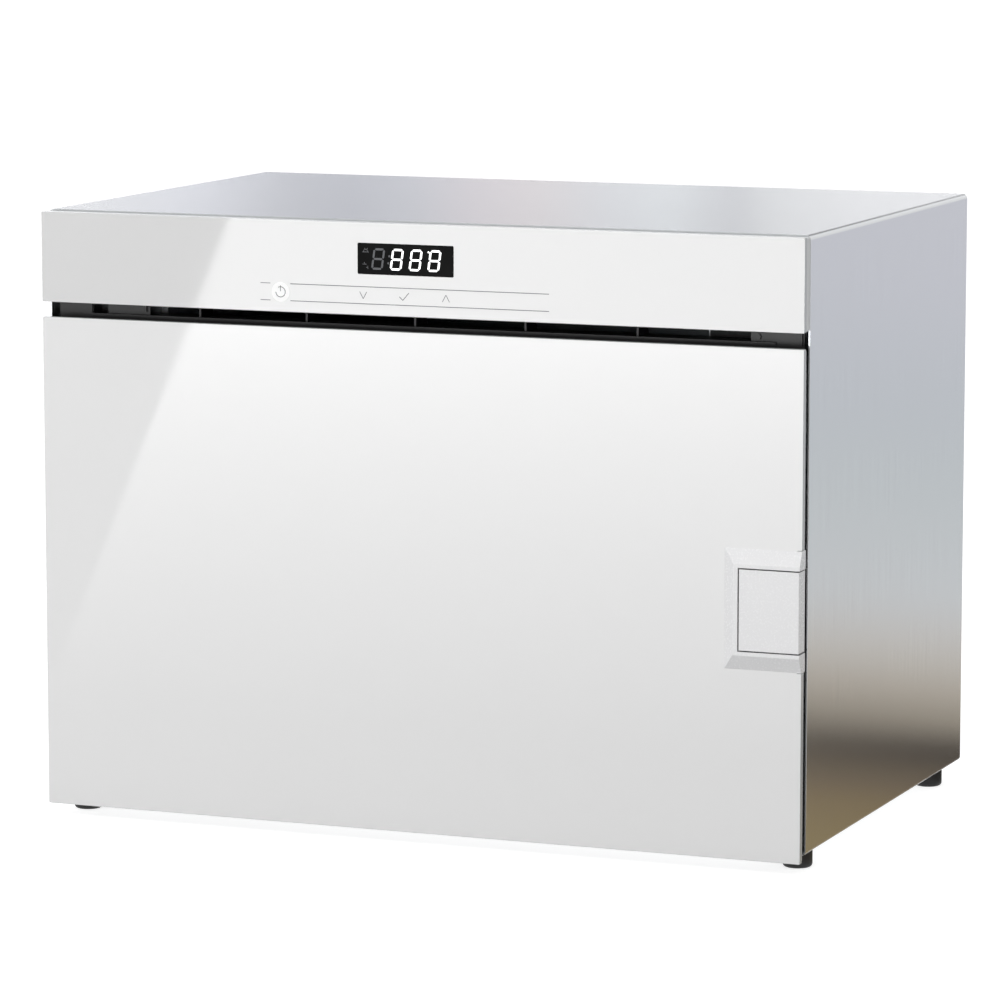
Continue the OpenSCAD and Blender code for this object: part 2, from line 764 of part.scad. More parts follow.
module fan_impeller() in_place() color("#1f2224") {
    z0 = fan_z + 7;
    blades = 24;
    difference() {
        translate([fan_x, fan_y, 0]) {
            along_z([0, 0, z0], impeller_d / 2, 1.5);
            along_z([0, 0, z0], 9, 16);
            for (i = [0:blades - 1])
                rotate(i * 360 / blades)
                    translate([impeller_d / 2 - 6, 0, z0 + 1]) rotate(28)
                        translate([-5.5, -0.5, 0]) cube([11, 1, 20]);
            translate([0, 0, z0 + 20]) difference() {
                cylinder(r = impeller_d / 2, h = 1.5);
                translate([0, 0, -1]) cylinder(r = impeller_d / 2 - 11, h = 4);
            }
        }
        along_z([fan_x, fan_y, z0 - 1], shaft_r + 0.05, 30);
    }
}

// Flat air duct from the fan's outlet to the slots under the fascia
module duct_plan(t, past) {
    y0 = plate_y + plate_t + e - past;
    y1 = fan_y - fan_box / 2 - e;
    xa = fan_x - fan_box / 2 + 6 + t;
    xb = fan_x + 10 - t;
    polygon([[duct_x + t, y0], [casing_w - duct_x - t, y0], [xb, y1 - 30],
        [xb, y1 + past], [xa, y1 + past], [xa, y1 - 30]]);
}

module air_duct() in_place() color("#4a4e52")
    difference() {
        translate([0, 0, shelf_top]) linear_extrude(duct_z1 - shelf_top) duct_plan(0, 0);
        translate([0, 0, shelf_top + 1.2]) linear_extrude(duct_z1 - shelf_top - 2.4) duct_plan(1.2, 1);
    }

// ---------- front of the cabinet ----------

slot_z = door_z1 + 2;
slot_z1 = fascia_z - 2.2;
strip_y = 16;

module vent_strip() in_place() color("#17181a") {
    pitch = 71.5;
    rib_t = 1.2;
    difference() {
        union() {
            block([5, strip_y, door_z1 - 6], [casing_w - 5, plate_y, fascia_z - 0.2]);
            // Ledge under the slots, and the raised end blocks
            block([27, strip_y - 2.5, door_z1 + 0.3], [casing_w - 22, strip_y + 1, slot_z]);
            block([5, strip_y - 1.5, door_z1], [27, strip_y + 1, fascia_z - 0.4]);
            block([38, strip_y - 1.5, slot_z + 2], [64, strip_y + 1, fascia_z - 0.4]);
            block([casing_w - 22, strip_y - 1.5, door_z1], [casing_w - 6, strip_y + 1, fascia_z - 0.4]);
        }
        for (x = [0:4])
            block([100.5 + x * pitch, strip_y - 5, slot_z],
                [100.5 + (x + 1) * pitch - rib_t, plate_y + 1, slot_z1]);
        block([66, strip_y - 5, slot_z], [100.5 - rib_t, plate_y + 1, slot_z1]);
        block([27.5, strip_y - 5, slot_z], [37.5, plate_y - 6, slot_z1]);
    }
    along_y([461, strip_y - 1, (slot_z + slot_z1) / 2], 2.2, 2);
}

window_z1 = fascia_z1 - display_drop;
window_lo = [display_x, window_z1 - display_h];
window_hi = [display_x + display_w, window_z1];
key_z = fascia_z1 - 43.8;
key_xs = [161.3, 215.8, 242.4, 269.6];

module fascia_panel() in_place() color("white")
    upright(0, glass_t) difference() {
        round_rect([0, fascia_z], [casing_w, fascia_z1], 0.8);
        round_rect(window_lo - [0.05, 0.05], window_hi + [0.05, 0.05], 1);
    }

module fascia_carrier() in_place() color("#d7d9da") {
    difference() {
        union() {
            upright(glass_t, casing_front - 0.2)
                round_rect([0.2, fascia_z + 0.3], [casing_w - 0.2, fascia_z1 - 0.2], 1);
            upright(casing_front - 1, plate_y)
                round_rect([casing_t + 0.6, fascia_z + 0.3], [inner_x1 - 0.6, body_h - casing_t - 0.6], 1.5);
        }
        upright(glass_t + 2.2, plate_y + 1)
            round_rect([casing_t + 3, fascia_z + 2.5], [inner_x1 - 3, body_h - casing_t - 3], 1);
        upright(glass_t - 1, glass_t + 4)
            translate(window_lo - [2, 2]) square(window_hi - window_lo + [4, 4]);
        for (x = key_xs)
            along_y([x, glass_t - 1, key_z], 6.3, 6);
    }
    // Bosses for the control board
    for (x = [135, 350])
        for (z = [fascia_z + 8, fascia_z1 - 8])
            along_y([x, glass_t + 2, z], 3, 6);
}

module display_window() in_place() color("#0b0c0e", 0.85)
    upright(0.05, glass_t / 2)
        round_rect(window_lo, window_hi, 1);

// Four slanted seven-segment digits and the small symbols of the readout
digit_h = 13;
digit_w = 7.6;
digit_pitch = 12.2;
segment_t = 1.5;
digit_x = display_x + 9.4;

// One segment lying along +x from the origin, with pointed ends
module segment(l) {
    h = segment_t / 2;
    g = 0.25;
    polygon([[g, 0], [g + h, h], [l - g - h, h], [l - g, 0], [l - g - h, -h], [g + h, -h]]);
}

module digit() {
    a = digit_w - segment_t;
    b = (digit_h - segment_t) / 2;
    multmatrix([[1, 0.14, 0, 0], [0, 1, 0, 0], [0, 0, 1, 0], [0, 0, 0, 1]])
        for (i = [0:2]) {
            translate([0, i * b]) segment(a);
            if (i < 2)
                for (x = [0, a])
                    translate([x, i * b]) rotate(90) segment(b);
        }
}

module display_module() in_place() color("#2a2c2f") {
    z0 = window_lo.y + (display_h - digit_h + segment_t) / 2;
    upright(glass_t / 2 + 0.6, glass_t + 5)
        translate(window_lo + [0.4, 0.4]) square(window_hi - window_lo - [0.8, 0.8]);
    upright(glass_t / 2 + 0.2, glass_t / 2 + 0.7)
        for (i = [0:3])
            translate([digit_x + i * digit_pitch, z0]) digit();
}

module touch_sensors() in_place() color("#b0763a")
    for (x = key_xs)
        along_y([x, glass_t + 0.1, key_z], 6, board_y - glass_t - 0.1);

module control_board() in_place() color("#2f6b45") {
    block([128, board_y, fascia_z + 4], [357, board_y + 1.6, fascia_z1 - 4]);
    for (x = [160, 225, 290])
        block([x, board_y + 1.6, fascia_z + 18], [x + 14, board_y + 5, fascia_z + 30]);
}

// The power board stands on four pillars beside the duct
board_lo = [casing_w - 195, 130];
board_hi = [casing_w - 25, 280];
pcb_z = shelf_top + 12;
pcb_top = pcb_z + 1.6;

module power_board() in_place() color("#2f6b45") {
    block([board_lo.x, board_lo.y, pcb_z], [board_hi.x, board_hi.y, pcb_top]);
    for (x = [board_lo.x + 8, board_hi.x - 8])
        for (y = [board_lo.y + 8, board_hi.y - 8])
            along_z([x, y, shelf_top], 3, pcb_z - shelf_top);
}

module power_components() in_place() color("#3d4348") {
    p = [board_lo.x, board_lo.y, pcb_top];
    block(p + [16, 24, 0], p + [62, 62, 32]);
    for (x = [76, 98, 120])
        block(p + [x, 20, 0], p + [x + 16, 48, 18]);
    for (x = [84, 108, 132])
        along_z(p + [x, 80, 0], 8, 26);
    block(p + [20, 90, 0], p + [60, 104, 14]);
    block(p + [80, 110, 0], p + [150, 122, 11]);
}

module terminal_block() in_place() color("#e8e6df")
    difference() {
        block([36, rear_y - 60, shelf_top], [76, rear_y - 34, shelf_top + 20]);
        for (x = [42, 56, 70])
            along_z([x, rear_y - 47, shelf_top + 8], 3, 20);
    }

module cable_gland() in_place() color("#1b1c1e")
    difference() {
        union() {
            along_y([gland_x, rear_y - 10, gland_z], gland_r, 14);
            along_y([gland_x, rear_y + 1, gland_z], gland_r + 4, 3);
            along_y([gland_x, rear_y + 1, gland_z], gland_r - 1, 7.5);
            translate([gland_x, rear_y - 5.2, gland_z]) rotate([-90, 0, 0])
                cylinder(r = gland_r + 4, h = 5, $fn = 6);
        }
        along_y([gland_x, rear_y - 11, gland_z], cord_r, 30);
    }

// ---------- hinge and door ----------

arm_x = [1.6, 5.2];

module hinge_arms() in_place() color("#9ea3a7")
    for (z = hinge_zs)
        difference() {
            union() {
                along_z([hinge_x, hinge_y, z], knuckle_r, knuckle_h);
                block([arm_x[0], hinge_y, z], [arm_x[1], plate_y, z + knuckle_h]);
                block([arm_x[0], plate_y - 1.5, z], [20, plate_y, z + knuckle_h]);
            }
            along_z([hinge_x, hinge_y, z - 1], pin_d / 2 + pin_gap, knuckle_h + 2);
        }

door_pan_x = 8;
door_pan_x1 = casing_w - 8;
door_pan_z = casing_z + 5;
door_pan_z1 = door_z1 - 8;

module hinge_brackets() in_place() color("#9ea3a7")
    for (z = hinge_zs)
        difference() {
            union() {
                block([door_pan_x - 1.8, hinge_y, z - 12], [door_pan_x, door_t - 3, z + knuckle_h + 12]);
                for (ear = [z - ear_gap - ear_t, z + knuckle_h + ear_gap]) {
                    along_z([hinge_x, hinge_y, ear], knuckle_r - 0.2, ear_t);
                    block([hinge_x, hinge_y - 2.4, ear], [door_pan_x, hinge_y + 2.4, ear + ear_t]);
                }
            }
            along_z([hinge_x, hinge_y, z - 5], pin_d / 2 + pin_gap / 2, knuckle_h + 10);
        }

module hinge_pins() in_place() color("#6f7478")
    for (z = hinge_zs) {
        l = knuckle_h + 2 * ear_t + 2 * ear_gap;
        along_z([hinge_x, hinge_y, z - ear_gap - ear_t - 0.8], pin_d / 2, l + 0.8);
        along_z([hinge_x, hinge_y, z + knuckle_h + ear_gap + ear_t], pin_d / 2 + 0.6, 1);
    }

cut_lo = [opener_x - 1, opener_z - opener_h / 2 - 1];
cut_hi = [casing_w + 5, opener_z + opener_h / 2 + 1];

// The outline of the glass and of the frame, less the opener's cut-outs
module door_outline(inset) {
    difference() {
        round_rect([inset, door_z + inset], [casing_w - inset, door_z1 - inset], 0.8);
        translate(cut_lo) square(cut_hi - cut_lo);
        translate([casing_w - 3.2, opener_z - bezel_h / 2 - 0.2]) square([10, bezel_h + 0.4]);
    }
}

module door_glass() in_place() color("white")
    upright(0, glass_t) door_outline(0);

module door_frame() in_place() color("#e4e6e7") {
    difference() {
        upright(glass_t, pan_y0) difference() {
            door_outline(0.8);
            round_rect([16, door_z + 14], [casing_w - 16, door_z1 - 14], 4);
        }
        for (z = hinge_zs)
            block([-1, glass_t - 1, z - ear_t - ear_gap - 2],
                [door_pan_x + 0.3, pan_y0 + 1, z + knuckle_h + ear_t + ear_gap + 2]);
    }
}

module door_pan() in_place() color("#c9ccce") {
    difference() {
        front_tub([door_pan_x, pan_y0, door_pan_z], [door_pan_x1, door_t, door_pan_z1], 1, 6);
        block([hook_x - 7, door_t - 3, opener_z - 6], [hook_x + 8, door_t + 1, opener_z + 6]);
    }
}

module door_insulation() in_place() color("#d8cfae")
    upright(pan_y0 + 1, door_t - 1.2)
        round_rect([door_pan_x + 1.3, door_pan_z + 1.3], [opener_x - 8, door_pan_z1 - 1.3], 5);

// ---------- opener and latch ----------

module opener_bezel() in_place() color("white") {
    z0 = opener_z - bezel_h / 2;
    z1 = opener_z + bezel_h / 2;
    rim_z = bezel_end_slope;
    difference() {
        union() {
            hull() {
                block([bezel_x, -0.3, z0], [casing_w, 0, z1]);
                block([bezel_x + bezel_slope, -bezel_proud, z0 + rim_z],
                    [casing_w, -bezel_proud + 0.3, z1 - rim_z]);
            }
            block([casing_w - 3, -0.4, z0], [casing_w, pan_y0, z1]);
        }
        block([opener_x - plate_gap, -10, opener_z - opener_h / 2 - plate_gap],
            [casing_w + 1, 20, opener_z + opener_h / 2 + plate_gap]);
    }
}

stem_x = casing_w - 20;
stem_zs = [opener_z - 16, opener_z + 16];
stem_r = 3;
slab_t = 3;
slab_y1 = opener_face + slab_t;
rod_x = hook_x - tail_x - 0.5;
tail_front = hook_y - 2.5;

module opener_plate() in_place() color("white") {
    z0 = opener_z - opener_h / 2;
    z1 = opener_z + opener_h / 2;
    block([opener_x, opener_face, z0], [casing_w - 0.5, slab_y1, z1]);
    block([casing_w - 3.2, opener_face, z0], [casing_w - 0.5, pan_y0 + 0.5, z1]);
    for (z = stem_zs)
        along_y([stem_x, slab_y1 - 0.5, z], stem_r, 15);
    block([rod_x - 1.5, slab_y1 - 0.5, opener_z - 3], [rod_x + 1.5, tail_front - 0.5, opener_z + 3]);
}

module opener_spring() in_place() color("#8d9194")
    for (z = stem_zs)
        translate([stem_x, slab_y1 + 0.2, z]) rotate([-90, 0, 0])
            linear_extrude(pan_y0 - slab_y1 - 0.4, twist = -1440, slices = 64, $fn = 8)
                translate([stem_r + 1.1, 0]) circle(0.5);

module latch_mount() in_place() color("#9ea3a7") {
    difference() {
        union() {
            block([opener_x - 5, pan_y0, opener_z - 32], [door_pan_x1 - 1.3, pan_y0 + 1.5, opener_z + 32]);
            for (z = [opener_z - 6.3, opener_z + 4.3])
                block([hook_x - 6, pan_y0, z], [hook_x + 7, hook_y + 6, z + 2]);
            along_z([hook_x, hook_y, opener_z - 6.3], hook_pin_r, 12.6);
        }
        for (z = stem_zs)
            along_y([stem_x, pan_y0 - 1, z], stem_r + 0.08, 5);
        block([rod_x - 3, pan_y0 - 1, opener_z - 4], [hook_x - 6.5, pan_y0 + 3, opener_z + 4]);
        block([hook_x - 6.6, pan_y0 - 1, opener_z - 4.29], [hook_x + 8, pan_y0 + 3, opener_z + 4.29]);
    }
}

barb_y = liner_y + 3;

module latch_hook() in_place() color("#7d8286")
    difference() {
        union() {
            along_z([hook_x, hook_y, hook_z0], 4.8, hook_h);
            block([rod_x - 2, tail_front, hook_z0], [hook_x, hook_y + 2.5, hook_z0 + hook_h]);
            block([hook_x - 4, hook_y, hook_z0], [hook_x + 2, barb_y + 4, hook_z0 + hook_h]);
            block([hook_x - 11.5, barb_y, hook_z0], [hook_x, barb_y + 4, hook_z0 + hook_h]);
        }
        along_z([hook_x, hook_y, hook_z0 - 1], hook_pin_r + 0.05, hook_h + 2);
    }

// A leaf across the frame's slot: the hook's barb catches behind its lip
module catch_spring() in_place() color("#b4b8bb") {
    block([catch_x, liner_y, opener_z - 22], [hook_x - 8, liner_y + 1, opener_z + 22]);
    block([catch_x, liner_y, opener_z - 8], [hook_x - 8, barb_y - 0.4, opener_z + 8]);
}

outer_casing();
base_pan();
rear_panel();
rear_panel_screws();
feet();
foot_screws();
front_frame();
cavity_liner();
cavity_insulation();
door_seal();
shelf_rack_left();
shelf_rack_right();
rack_studs();
steam_container();
drip_tray();
floor_heater();
steam_generator();
generator_lid();
heating_element();
overheat_cutout();
steam_hose();
steam_nozzle();
temperature_probe();
tank_bay();
water_tank();
water_tank_lid();
tank_coupling();
coupling_socket();
feed_pump();
pump_bracket();
water_hoses();
electronics_shelf();
fan_housing();
fan_motor();
fan_impeller();
air_duct();
vent_strip();
fascia_panel();
fascia_carrier();
display_window();
display_module();
touch_sensors();
control_board();
power_board();
power_components();
terminal_block();
cable_gland();
hinge_arms();
catch_spring();
door_glass();
door_frame();
door_pan();
door_insulation();
hinge_brackets();
hinge_pins();
opener_bezel();
latch_mount();
opener_plate();
opener_spring();
latch_hook();
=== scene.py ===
# %% [markdown]
# # A countertop steam oven, dressed for its picture
# The steel, glass and plastic parts of this oven arrive as a measured model that also moves. This
# lesson adds what the eye looks for: glass with polished edges, a lit readout, brushed steel,
# rubber, silicone and wire. Every new piece takes its place from the measured parts, so nothing is
# fitted by hand afterwards.

# %% Load the measured model and keep its box
import math

import bpy
from mathutils import Matrix, Vector


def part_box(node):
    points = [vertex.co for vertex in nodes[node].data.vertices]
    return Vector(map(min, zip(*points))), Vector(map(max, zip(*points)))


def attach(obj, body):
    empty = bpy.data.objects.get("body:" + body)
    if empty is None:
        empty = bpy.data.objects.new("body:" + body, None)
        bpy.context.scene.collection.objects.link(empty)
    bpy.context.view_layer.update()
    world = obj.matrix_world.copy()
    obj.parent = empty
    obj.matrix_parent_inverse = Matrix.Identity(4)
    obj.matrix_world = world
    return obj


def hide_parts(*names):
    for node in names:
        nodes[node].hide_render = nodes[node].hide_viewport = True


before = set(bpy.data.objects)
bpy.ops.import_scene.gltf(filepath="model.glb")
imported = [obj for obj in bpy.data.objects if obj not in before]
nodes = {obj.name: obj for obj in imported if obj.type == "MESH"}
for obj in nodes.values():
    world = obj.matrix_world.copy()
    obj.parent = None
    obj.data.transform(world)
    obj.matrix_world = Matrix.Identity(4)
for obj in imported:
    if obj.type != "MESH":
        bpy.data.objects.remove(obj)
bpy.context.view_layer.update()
MM = 0.001

# %% [markdown]
# ## Two small helpers for shaders
# A colour is written as the sRGB hex value that a paint chart gives, and one function turns it into
# the linear numbers that a renderer works with. A second one adds a shader node, sets its fields and
# links its inputs, so that each material below reads as a short list.

# %% Colours and shader nodes


def colour(hex_value, alpha=1.0):
    channels = [int(hex_value[i:i + 2], 16) / 255 for i in (1, 3, 5)]
    straight = [c / 12.92 if c <= 0.04045 else ((c + 0.055) / 1.055) ** 2.4 for c in channels]
    return (*straight, alpha)


def add(tree, kind, inputs=None, **settings):
    made = tree.nodes.new(kind)
    for name, value in settings.items():
        setattr(made, name, value)
    for name, value in (inputs or {}).items():
        if isinstance(value, bpy.types.NodeSocket):
            tree.links.new(value, made.inputs[name])
        else:
            made.inputs[name].default_value = value
    return made


def material(name, hex_value, roughness, **sockets):
    made = bpy.data.materials.new(name)
    made.use_nodes = True
    shader = made.node_tree.nodes["Principled BSDF"]
    shader.inputs["Base Color"].default_value = colour(hex_value)
    shader.inputs["Roughness"].default_value = roughness
    for socket, value in sockets.items():
        shader.inputs[socket.replace("_", " ")].default_value = value
    return made, made.node_tree, shader


def wear(tree, shader, low, high, cell_mm, stretch=(1, 1, 1), bump_mm=0.0, detail=4.0):
    """Noise in real millimetres: it moves the roughness between low and high and raises a bump."""
    place = add(tree, "ShaderNodeTexCoord")
    scaled = add(tree, "ShaderNodeMapping", {"Vector": place.outputs["Object"], "Scale": stretch})
    noise = add(tree, "ShaderNodeTexNoise", {"Vector": scaled.outputs["Vector"],
                "Scale": 1 / (cell_mm * MM), "Detail": detail, "Roughness": 0.6})
    spread = add(tree, "ShaderNodeMapRange", {"Value": noise.outputs["Fac"], "From Min": 0.3,
                 "From Max": 0.7, "To Min": low, "To Max": high})
    tree.links.new(spread.outputs["Result"], shader.inputs["Roughness"])
    if bump_mm:
        bump = add(tree, "ShaderNodeBump", {"Height": noise.outputs["Fac"], "Strength": 1.0,
                   "Distance": bump_mm * MM})
        tree.links.new(bump.outputs["Normal"], shader.inputs["Normal"])
    return noise


# %% [markdown]
# ## Camera
# The oven is seen from its right, a little above, through a long lens that keeps its edges almost
# parallel. The camera stands about three metres off: its direction is an azimuth and an elevation,
# and its place is given from the middle of the oven's foot.

# %% The camera
AZIMUTH, ELEVATION = 21.8, 8.14
LENS_MM = 181.7
CAMERA_AT = (1.1675, -2.9389, 0.6434)

bpy.ops.object.camera_add(location=CAMERA_AT,
                          rotation=(math.radians(90 - ELEVATION), 0, math.radians(AZIMUTH)))
camera = bpy.context.object
camera.data.lens = LENS_MM
camera.data.clip_end = 50
bpy.context.scene.camera = camera
bpy.context.scene.view_settings.view_transform = "Standard"
print("camera at", [round(v, 3) for v in CAMERA_AT])

# %% [markdown]
# ## Floor, backdrop and light
# A pale floor carries the oven's soft shadow. The camera sees that floor lifted to white, and
# reflections see it plain white, which Light Path allows without pouring more light on the oven.
# The white only shows in what is seen: for all other light the floor is a pale grey paint.

# %% Floor and world


def stage_material(name, build):
    made = bpy.data.materials.new(name)
    made.use_nodes = True
    made.node_tree.nodes.clear()
    build(made.node_tree)
    return made


def white_floor(tree):
    path = add(tree, "ShaderNodeLightPath")
    paint = add(tree, "ShaderNodeBsdfDiffuse", {"Color": colour("#c4c4c4")})
    lift = add(tree, "ShaderNodeEmission", {"Color": (1, 1, 1, 1), "Strength": 0.78})
    plain = add(tree, "ShaderNodeEmission", {"Color": (1, 1, 1, 1), "Strength": 1.0})
    lifted = add(tree, "ShaderNodeAddShader", {0: paint.outputs[0], 1: lift.outputs[0]})
    to_camera = add(tree, "ShaderNodeMixShader", {0: path.outputs["Is Camera Ray"],
                    1: paint.outputs[0], 2: lifted.outputs[0]})
    mirrored = add(tree, "ShaderNodeMath", {0: path.outputs["Is Glossy Ray"],
                   1: path.outputs["Is Transmission Ray"]}, operation="MAXIMUM")
    mixed = add(tree, "ShaderNodeMixShader", {0: mirrored.outputs[0], 1: to_camera.outputs[0],
                2: plain.outputs[0]})
    add(tree, "ShaderNodeOutputMaterial", {"Surface": mixed.outputs[0]})


bpy.ops.mesh.primitive_plane_add(size=40, location=(0, 0, 0))
floor = bpy.context.object
floor.name = "studio_floor"
floor.data.materials.append(stage_material("pale_studio_floor", white_floor))

world = bpy.data.worlds.new("soft_room")
bpy.context.scene.world = world
world.use_nodes = True
room = world.node_tree
room.nodes.clear()
path = add(room, "ShaderNodeLightPath")
mirrored = add(room, "ShaderNodeMath", {0: path.outputs["Is Glossy Ray"],
               1: path.outputs["Is Transmission Ray"]}, operation="MAXIMUM")
seen = add(room, "ShaderNodeMath", {0: path.outputs["Is Camera Ray"], 1: mirrored.outputs[0]},
           operation="MAXIMUM")
lamp = add(room, "ShaderNodeBackground", {"Color": (1, 1, 1, 1), "Strength": 0.58})
white = add(room, "ShaderNodeBackground", {"Color": (1, 1, 1, 1), "Strength": 1.0})
both = add(room, "ShaderNodeMixShader", {0: seen.outputs[0], 1: lamp.outputs[0],
           2: white.outputs[0]})
add(room, "ShaderNodeOutputWorld", {"Surface": both.outputs[0]})

# %% Lamps


def softbox(name, at, towards, size, watts):
    bpy.ops.object.light_add(type="AREA", location=at)
    made = bpy.context.object
    made.name = name
    made.data.shape = "RECTANGLE"
    made.data.size, made.data.size_y = size
    made.data.energy = watts
    made.visible_glossy = False
    made.rotation_euler = (Vector(towards) - Vector(at)).to_track_quat("-Z", "Y").to_euler()
    return made


softbox("key_softbox", (-0.7, -2.0, 1.9), (0, 0, 0.28), (1.4, 0.9), 30)
softbox("left_softbox", (-2.4, -1.1, 1.0), (0, -0.1, 0.2), (1.2, 1.0), 8)
softbox("top_softbox", (0.2, 0.5, 2.4), (0, 0, 0.2), (1.6, 1.2), 10)

# %% [markdown]
# ## Reflection cards
# Polished steel and glass show what stands round them, so a studio surrounds them with cards. These
# are seen in reflections only. A bright one lies in front of the oven: its slanting left edge draws
# the line across the glass. One beside the oven is a worktop, golden close by and dark further back,
# which the steel side mirrors as a brownish foot. Two stand behind: one with soft vertical stripes
# for the top sheet, and a dark one, higher up, that draws the fold between the top and the side.

# %% Cards that only reflections see
STEEL = "#cfd1d3"
STEEL_LIFT = 1 / colour(STEEL)[1]


def card(name, corners, build):
    """Corners run left to right along the near or low edge, then along the far or high one."""
    bpy.ops.mesh.primitive_plane_add(size=1)
    made = bpy.context.object
    made.name = name
    for vertex, corner in zip(made.data.vertices, corners):
        vertex.co = corner
    made.data.materials.append(stage_material(name + "_surface", build))
    made.visible_camera = made.visible_diffuse = made.visible_shadow = False
    made.visible_transmission = False
    return made


def striped(axis, stops, strength=1.0):
    """Colours that change along one axis: each stop is a place in metres and a hex value."""
    def build(tree):
        low, high = stops[0][0], stops[-1][0]
        place = add(tree, "ShaderNodeTexCoord")
        apart = add(tree, "ShaderNodeSeparateXYZ", {"Vector": place.outputs["Object"]})
        along = add(tree, "ShaderNodeMapRange", {"Value": apart.outputs[axis], "From Min": low,
                    "From Max": high})
        ramp = add(tree, "ShaderNodeValToRGB", {"Fac": along.outputs["Result"]})
        for at, hex_value in stops[1:-1]:
            ramp.color_ramp.elements.new((at - low) / (high - low)).color = colour(hex_value)
        ramp.color_ramp.elements[0].color = colour(stops[0][1])
        ramp.color_ramp.elements[-1].color = colour(stops[-1][1])
        light = add(tree, "ShaderNodeEmission", {"Color": ramp.outputs["Color"],
                    "Strength": strength})
        add(tree, "ShaderNodeOutputMaterial", {"Surface": light.outputs[0]})
    return build


def fading(axis, near, far, weak, strong):
    """White light that grows from weak to strong along one axis."""
    def build(tree):
        place = add(tree, "ShaderNodeTexCoord")
        apart = add(tree, "ShaderNodeSeparateXYZ", {"Vector": place.outputs["Object"]})
        power = add(tree, "ShaderNodeMapRange", {"Value": apart.outputs[axis], "From Min": near,
                    "From Max": far, "To Min": weak, "To Max": strong})
        light = add(tree, "ShaderNodeEmission", {"Strength": power.outputs["Result"]})
        add(tree, "ShaderNodeOutputMaterial", {"Surface": light.outputs[0]})
    return build


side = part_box("outer_casing")[1].x
worktop = card("worktop_reflection", [(side, -0.9, 0.002), (3.5, -0.9, 0.002),
               (side, 9, 0.002), (3.5, 9, 0.002)],
               striped("Y", [(-0.06, "#807256"), (0.05, "#776952"), (0.12, "#675c4e"),
                             (0.21, "#4d4740"), (0.25, "#534d46"), (0.34, "#8f877b"),
                             (0.44, "#a79f94"), (0.56, "#b7b2ab"), (0.66, "#bdbab7"),
                             (0.84, "#bfc1c3"), (1.4, "#b8bcbe"), (2.0, "#b6b9be"),
                             (3.2, "#bdbdc4")], STEEL_LIFT))
card("wall_reflection", [(-6, 4, 0.2), (0.8, 4, 0.2), (-6, 4, 1.35), (0.8, 4, 1.35)],
     striped("X", [(-2.5, "#ffffff"), (-2.12, "#e2e3ea"), (-1.96, "#c2c3ca"), (-1.86, "#bcbdc5"),
                   (-1.76, "#c6c7ce"), (-1.66, "#d6d0d5"), (-1.56, "#ded8da"), (-1.45, "#dcdde1"),
                   (-1.35, "#e2e5e8"), (-1.27, "#d2d3d7"), (-1.235, "#cdced2"),
                   (-1.20, "#e0e1e3"), (-1.05, "#eeeef0"), (-0.8, "#f2f2f4")],
             1.25 * STEEL_LIFT))
card("fold_reflection", [(-4.5, 4.2, 1.7), (0.6, 4.2, 1.7), (-4.5, 3.0, 4.6), (0.6, 3.0, 4.6)],
     striped("X", [(-4.5, "#33343c"), (0.6, "#33343c")]))
card("door_reflection", [(-0.295, -0.2, 0.004), (1.5, -0.2, 0.004),
                         (-2.54, -5.5, 0.004), (1.5, -5.5, 0.004)],
     fading("Y", -0.5, -2.9, 1.1, 6.0))

# %% [markdown]
# ## Brushed stainless steel
# The casing is 1 mm ferritic stainless sheet, ground with a belt along the way it is bent. The belt
# leaves fine parallel scratches: light mirrors sharply along them and spreads wide across them.
# Anisotropy gives that spread, and a Tangent round the depth axis turns it with the bend, from the
# side walls over the top. The real scratches are about 0.05 mm wide. They are drawn 0.5 mm wide and
# very shallow here, so that they just show.

# %% Steel finishes


def brushed_steel(name, hex_value, low, high, grain, bump_mm, cell_mm=0.6, across=0.0):
    """grain is how much the scratches are squeezed along x, y and z: small runs long."""
    made, tree, shader = material(name, hex_value, (low + high) / 2, Metallic=1.0)
    wear(tree, shader, low, high, cell_mm, grain, bump_mm, detail=3.0)
    if across:
        shader.inputs["Anisotropic"].default_value = across
        shader.inputs["Anisotropic Rotation"].default_value = 0.25
        round_depth = add(tree, "ShaderNodeTangent", direction_type="RADIAL", axis="Y")
        tree.links.new(round_depth.outputs[0], shader.inputs["Tangent"])
    return made


casing_steel = brushed_steel("belt_ground_stainless_casing", STEEL, 0.17, 0.27, (1, 1, 0.008),
                             0.0011, cell_mm=0.5, across=0.8)
plain_steel = brushed_steel("plain_stainless_sheet", "#b9bbbd", 0.3, 0.42, (0.03, 1, 1), 0.003)
cavity_steel = brushed_steel("satin_stainless_liner", "#c4c6c8", 0.24, 0.36, (1, 0.03, 1), 0.003)
hinge_steel = brushed_steel("zinc_plated_pressing", "#a5a8ab", 0.34, 0.5, (1, 1, 1), 0.004, 1.5)
screw_steel = brushed_steel("zinc_plated_screw", "#8c9093", 0.3, 0.45, (1, 1, 1), 0.004, 0.8)
rack_wire = brushed_steel("electropolished_wire", "#d2d4d6", 0.1, 0.18, (1, 1, 1), 0.002, 2.0)
boiler_steel = brushed_steel("spun_stainless", "#b0b4b7", 0.22, 0.34, (1, 1, 0.03), 0.003)
element_steel = brushed_steel("heat_tinted_element", "#7a6a5c", 0.35, 0.5, (1, 1, 1), 0.006, 1.2)
cast_aluminium = brushed_steel("cast_aluminium_pad", "#a9abad", 0.45, 0.6, (1, 1, 1), 0.03, 0.9)

# %% [markdown]
# ## Glass, plastics, rubber and fibres
# The door and the fascia are clear float glass painted white on the back: a bright, even colour
# under a hard, mirror-smooth front, with a polished, slightly greenish-grey edge. The readout's
# window is an anti-reflective black film, so it hardly mirrors at all. Moulded plastics carry a fine
# spark-eroded grain, rubber is rougher still, and silicone has a soft, slightly see-through look.

# %% Other finishes


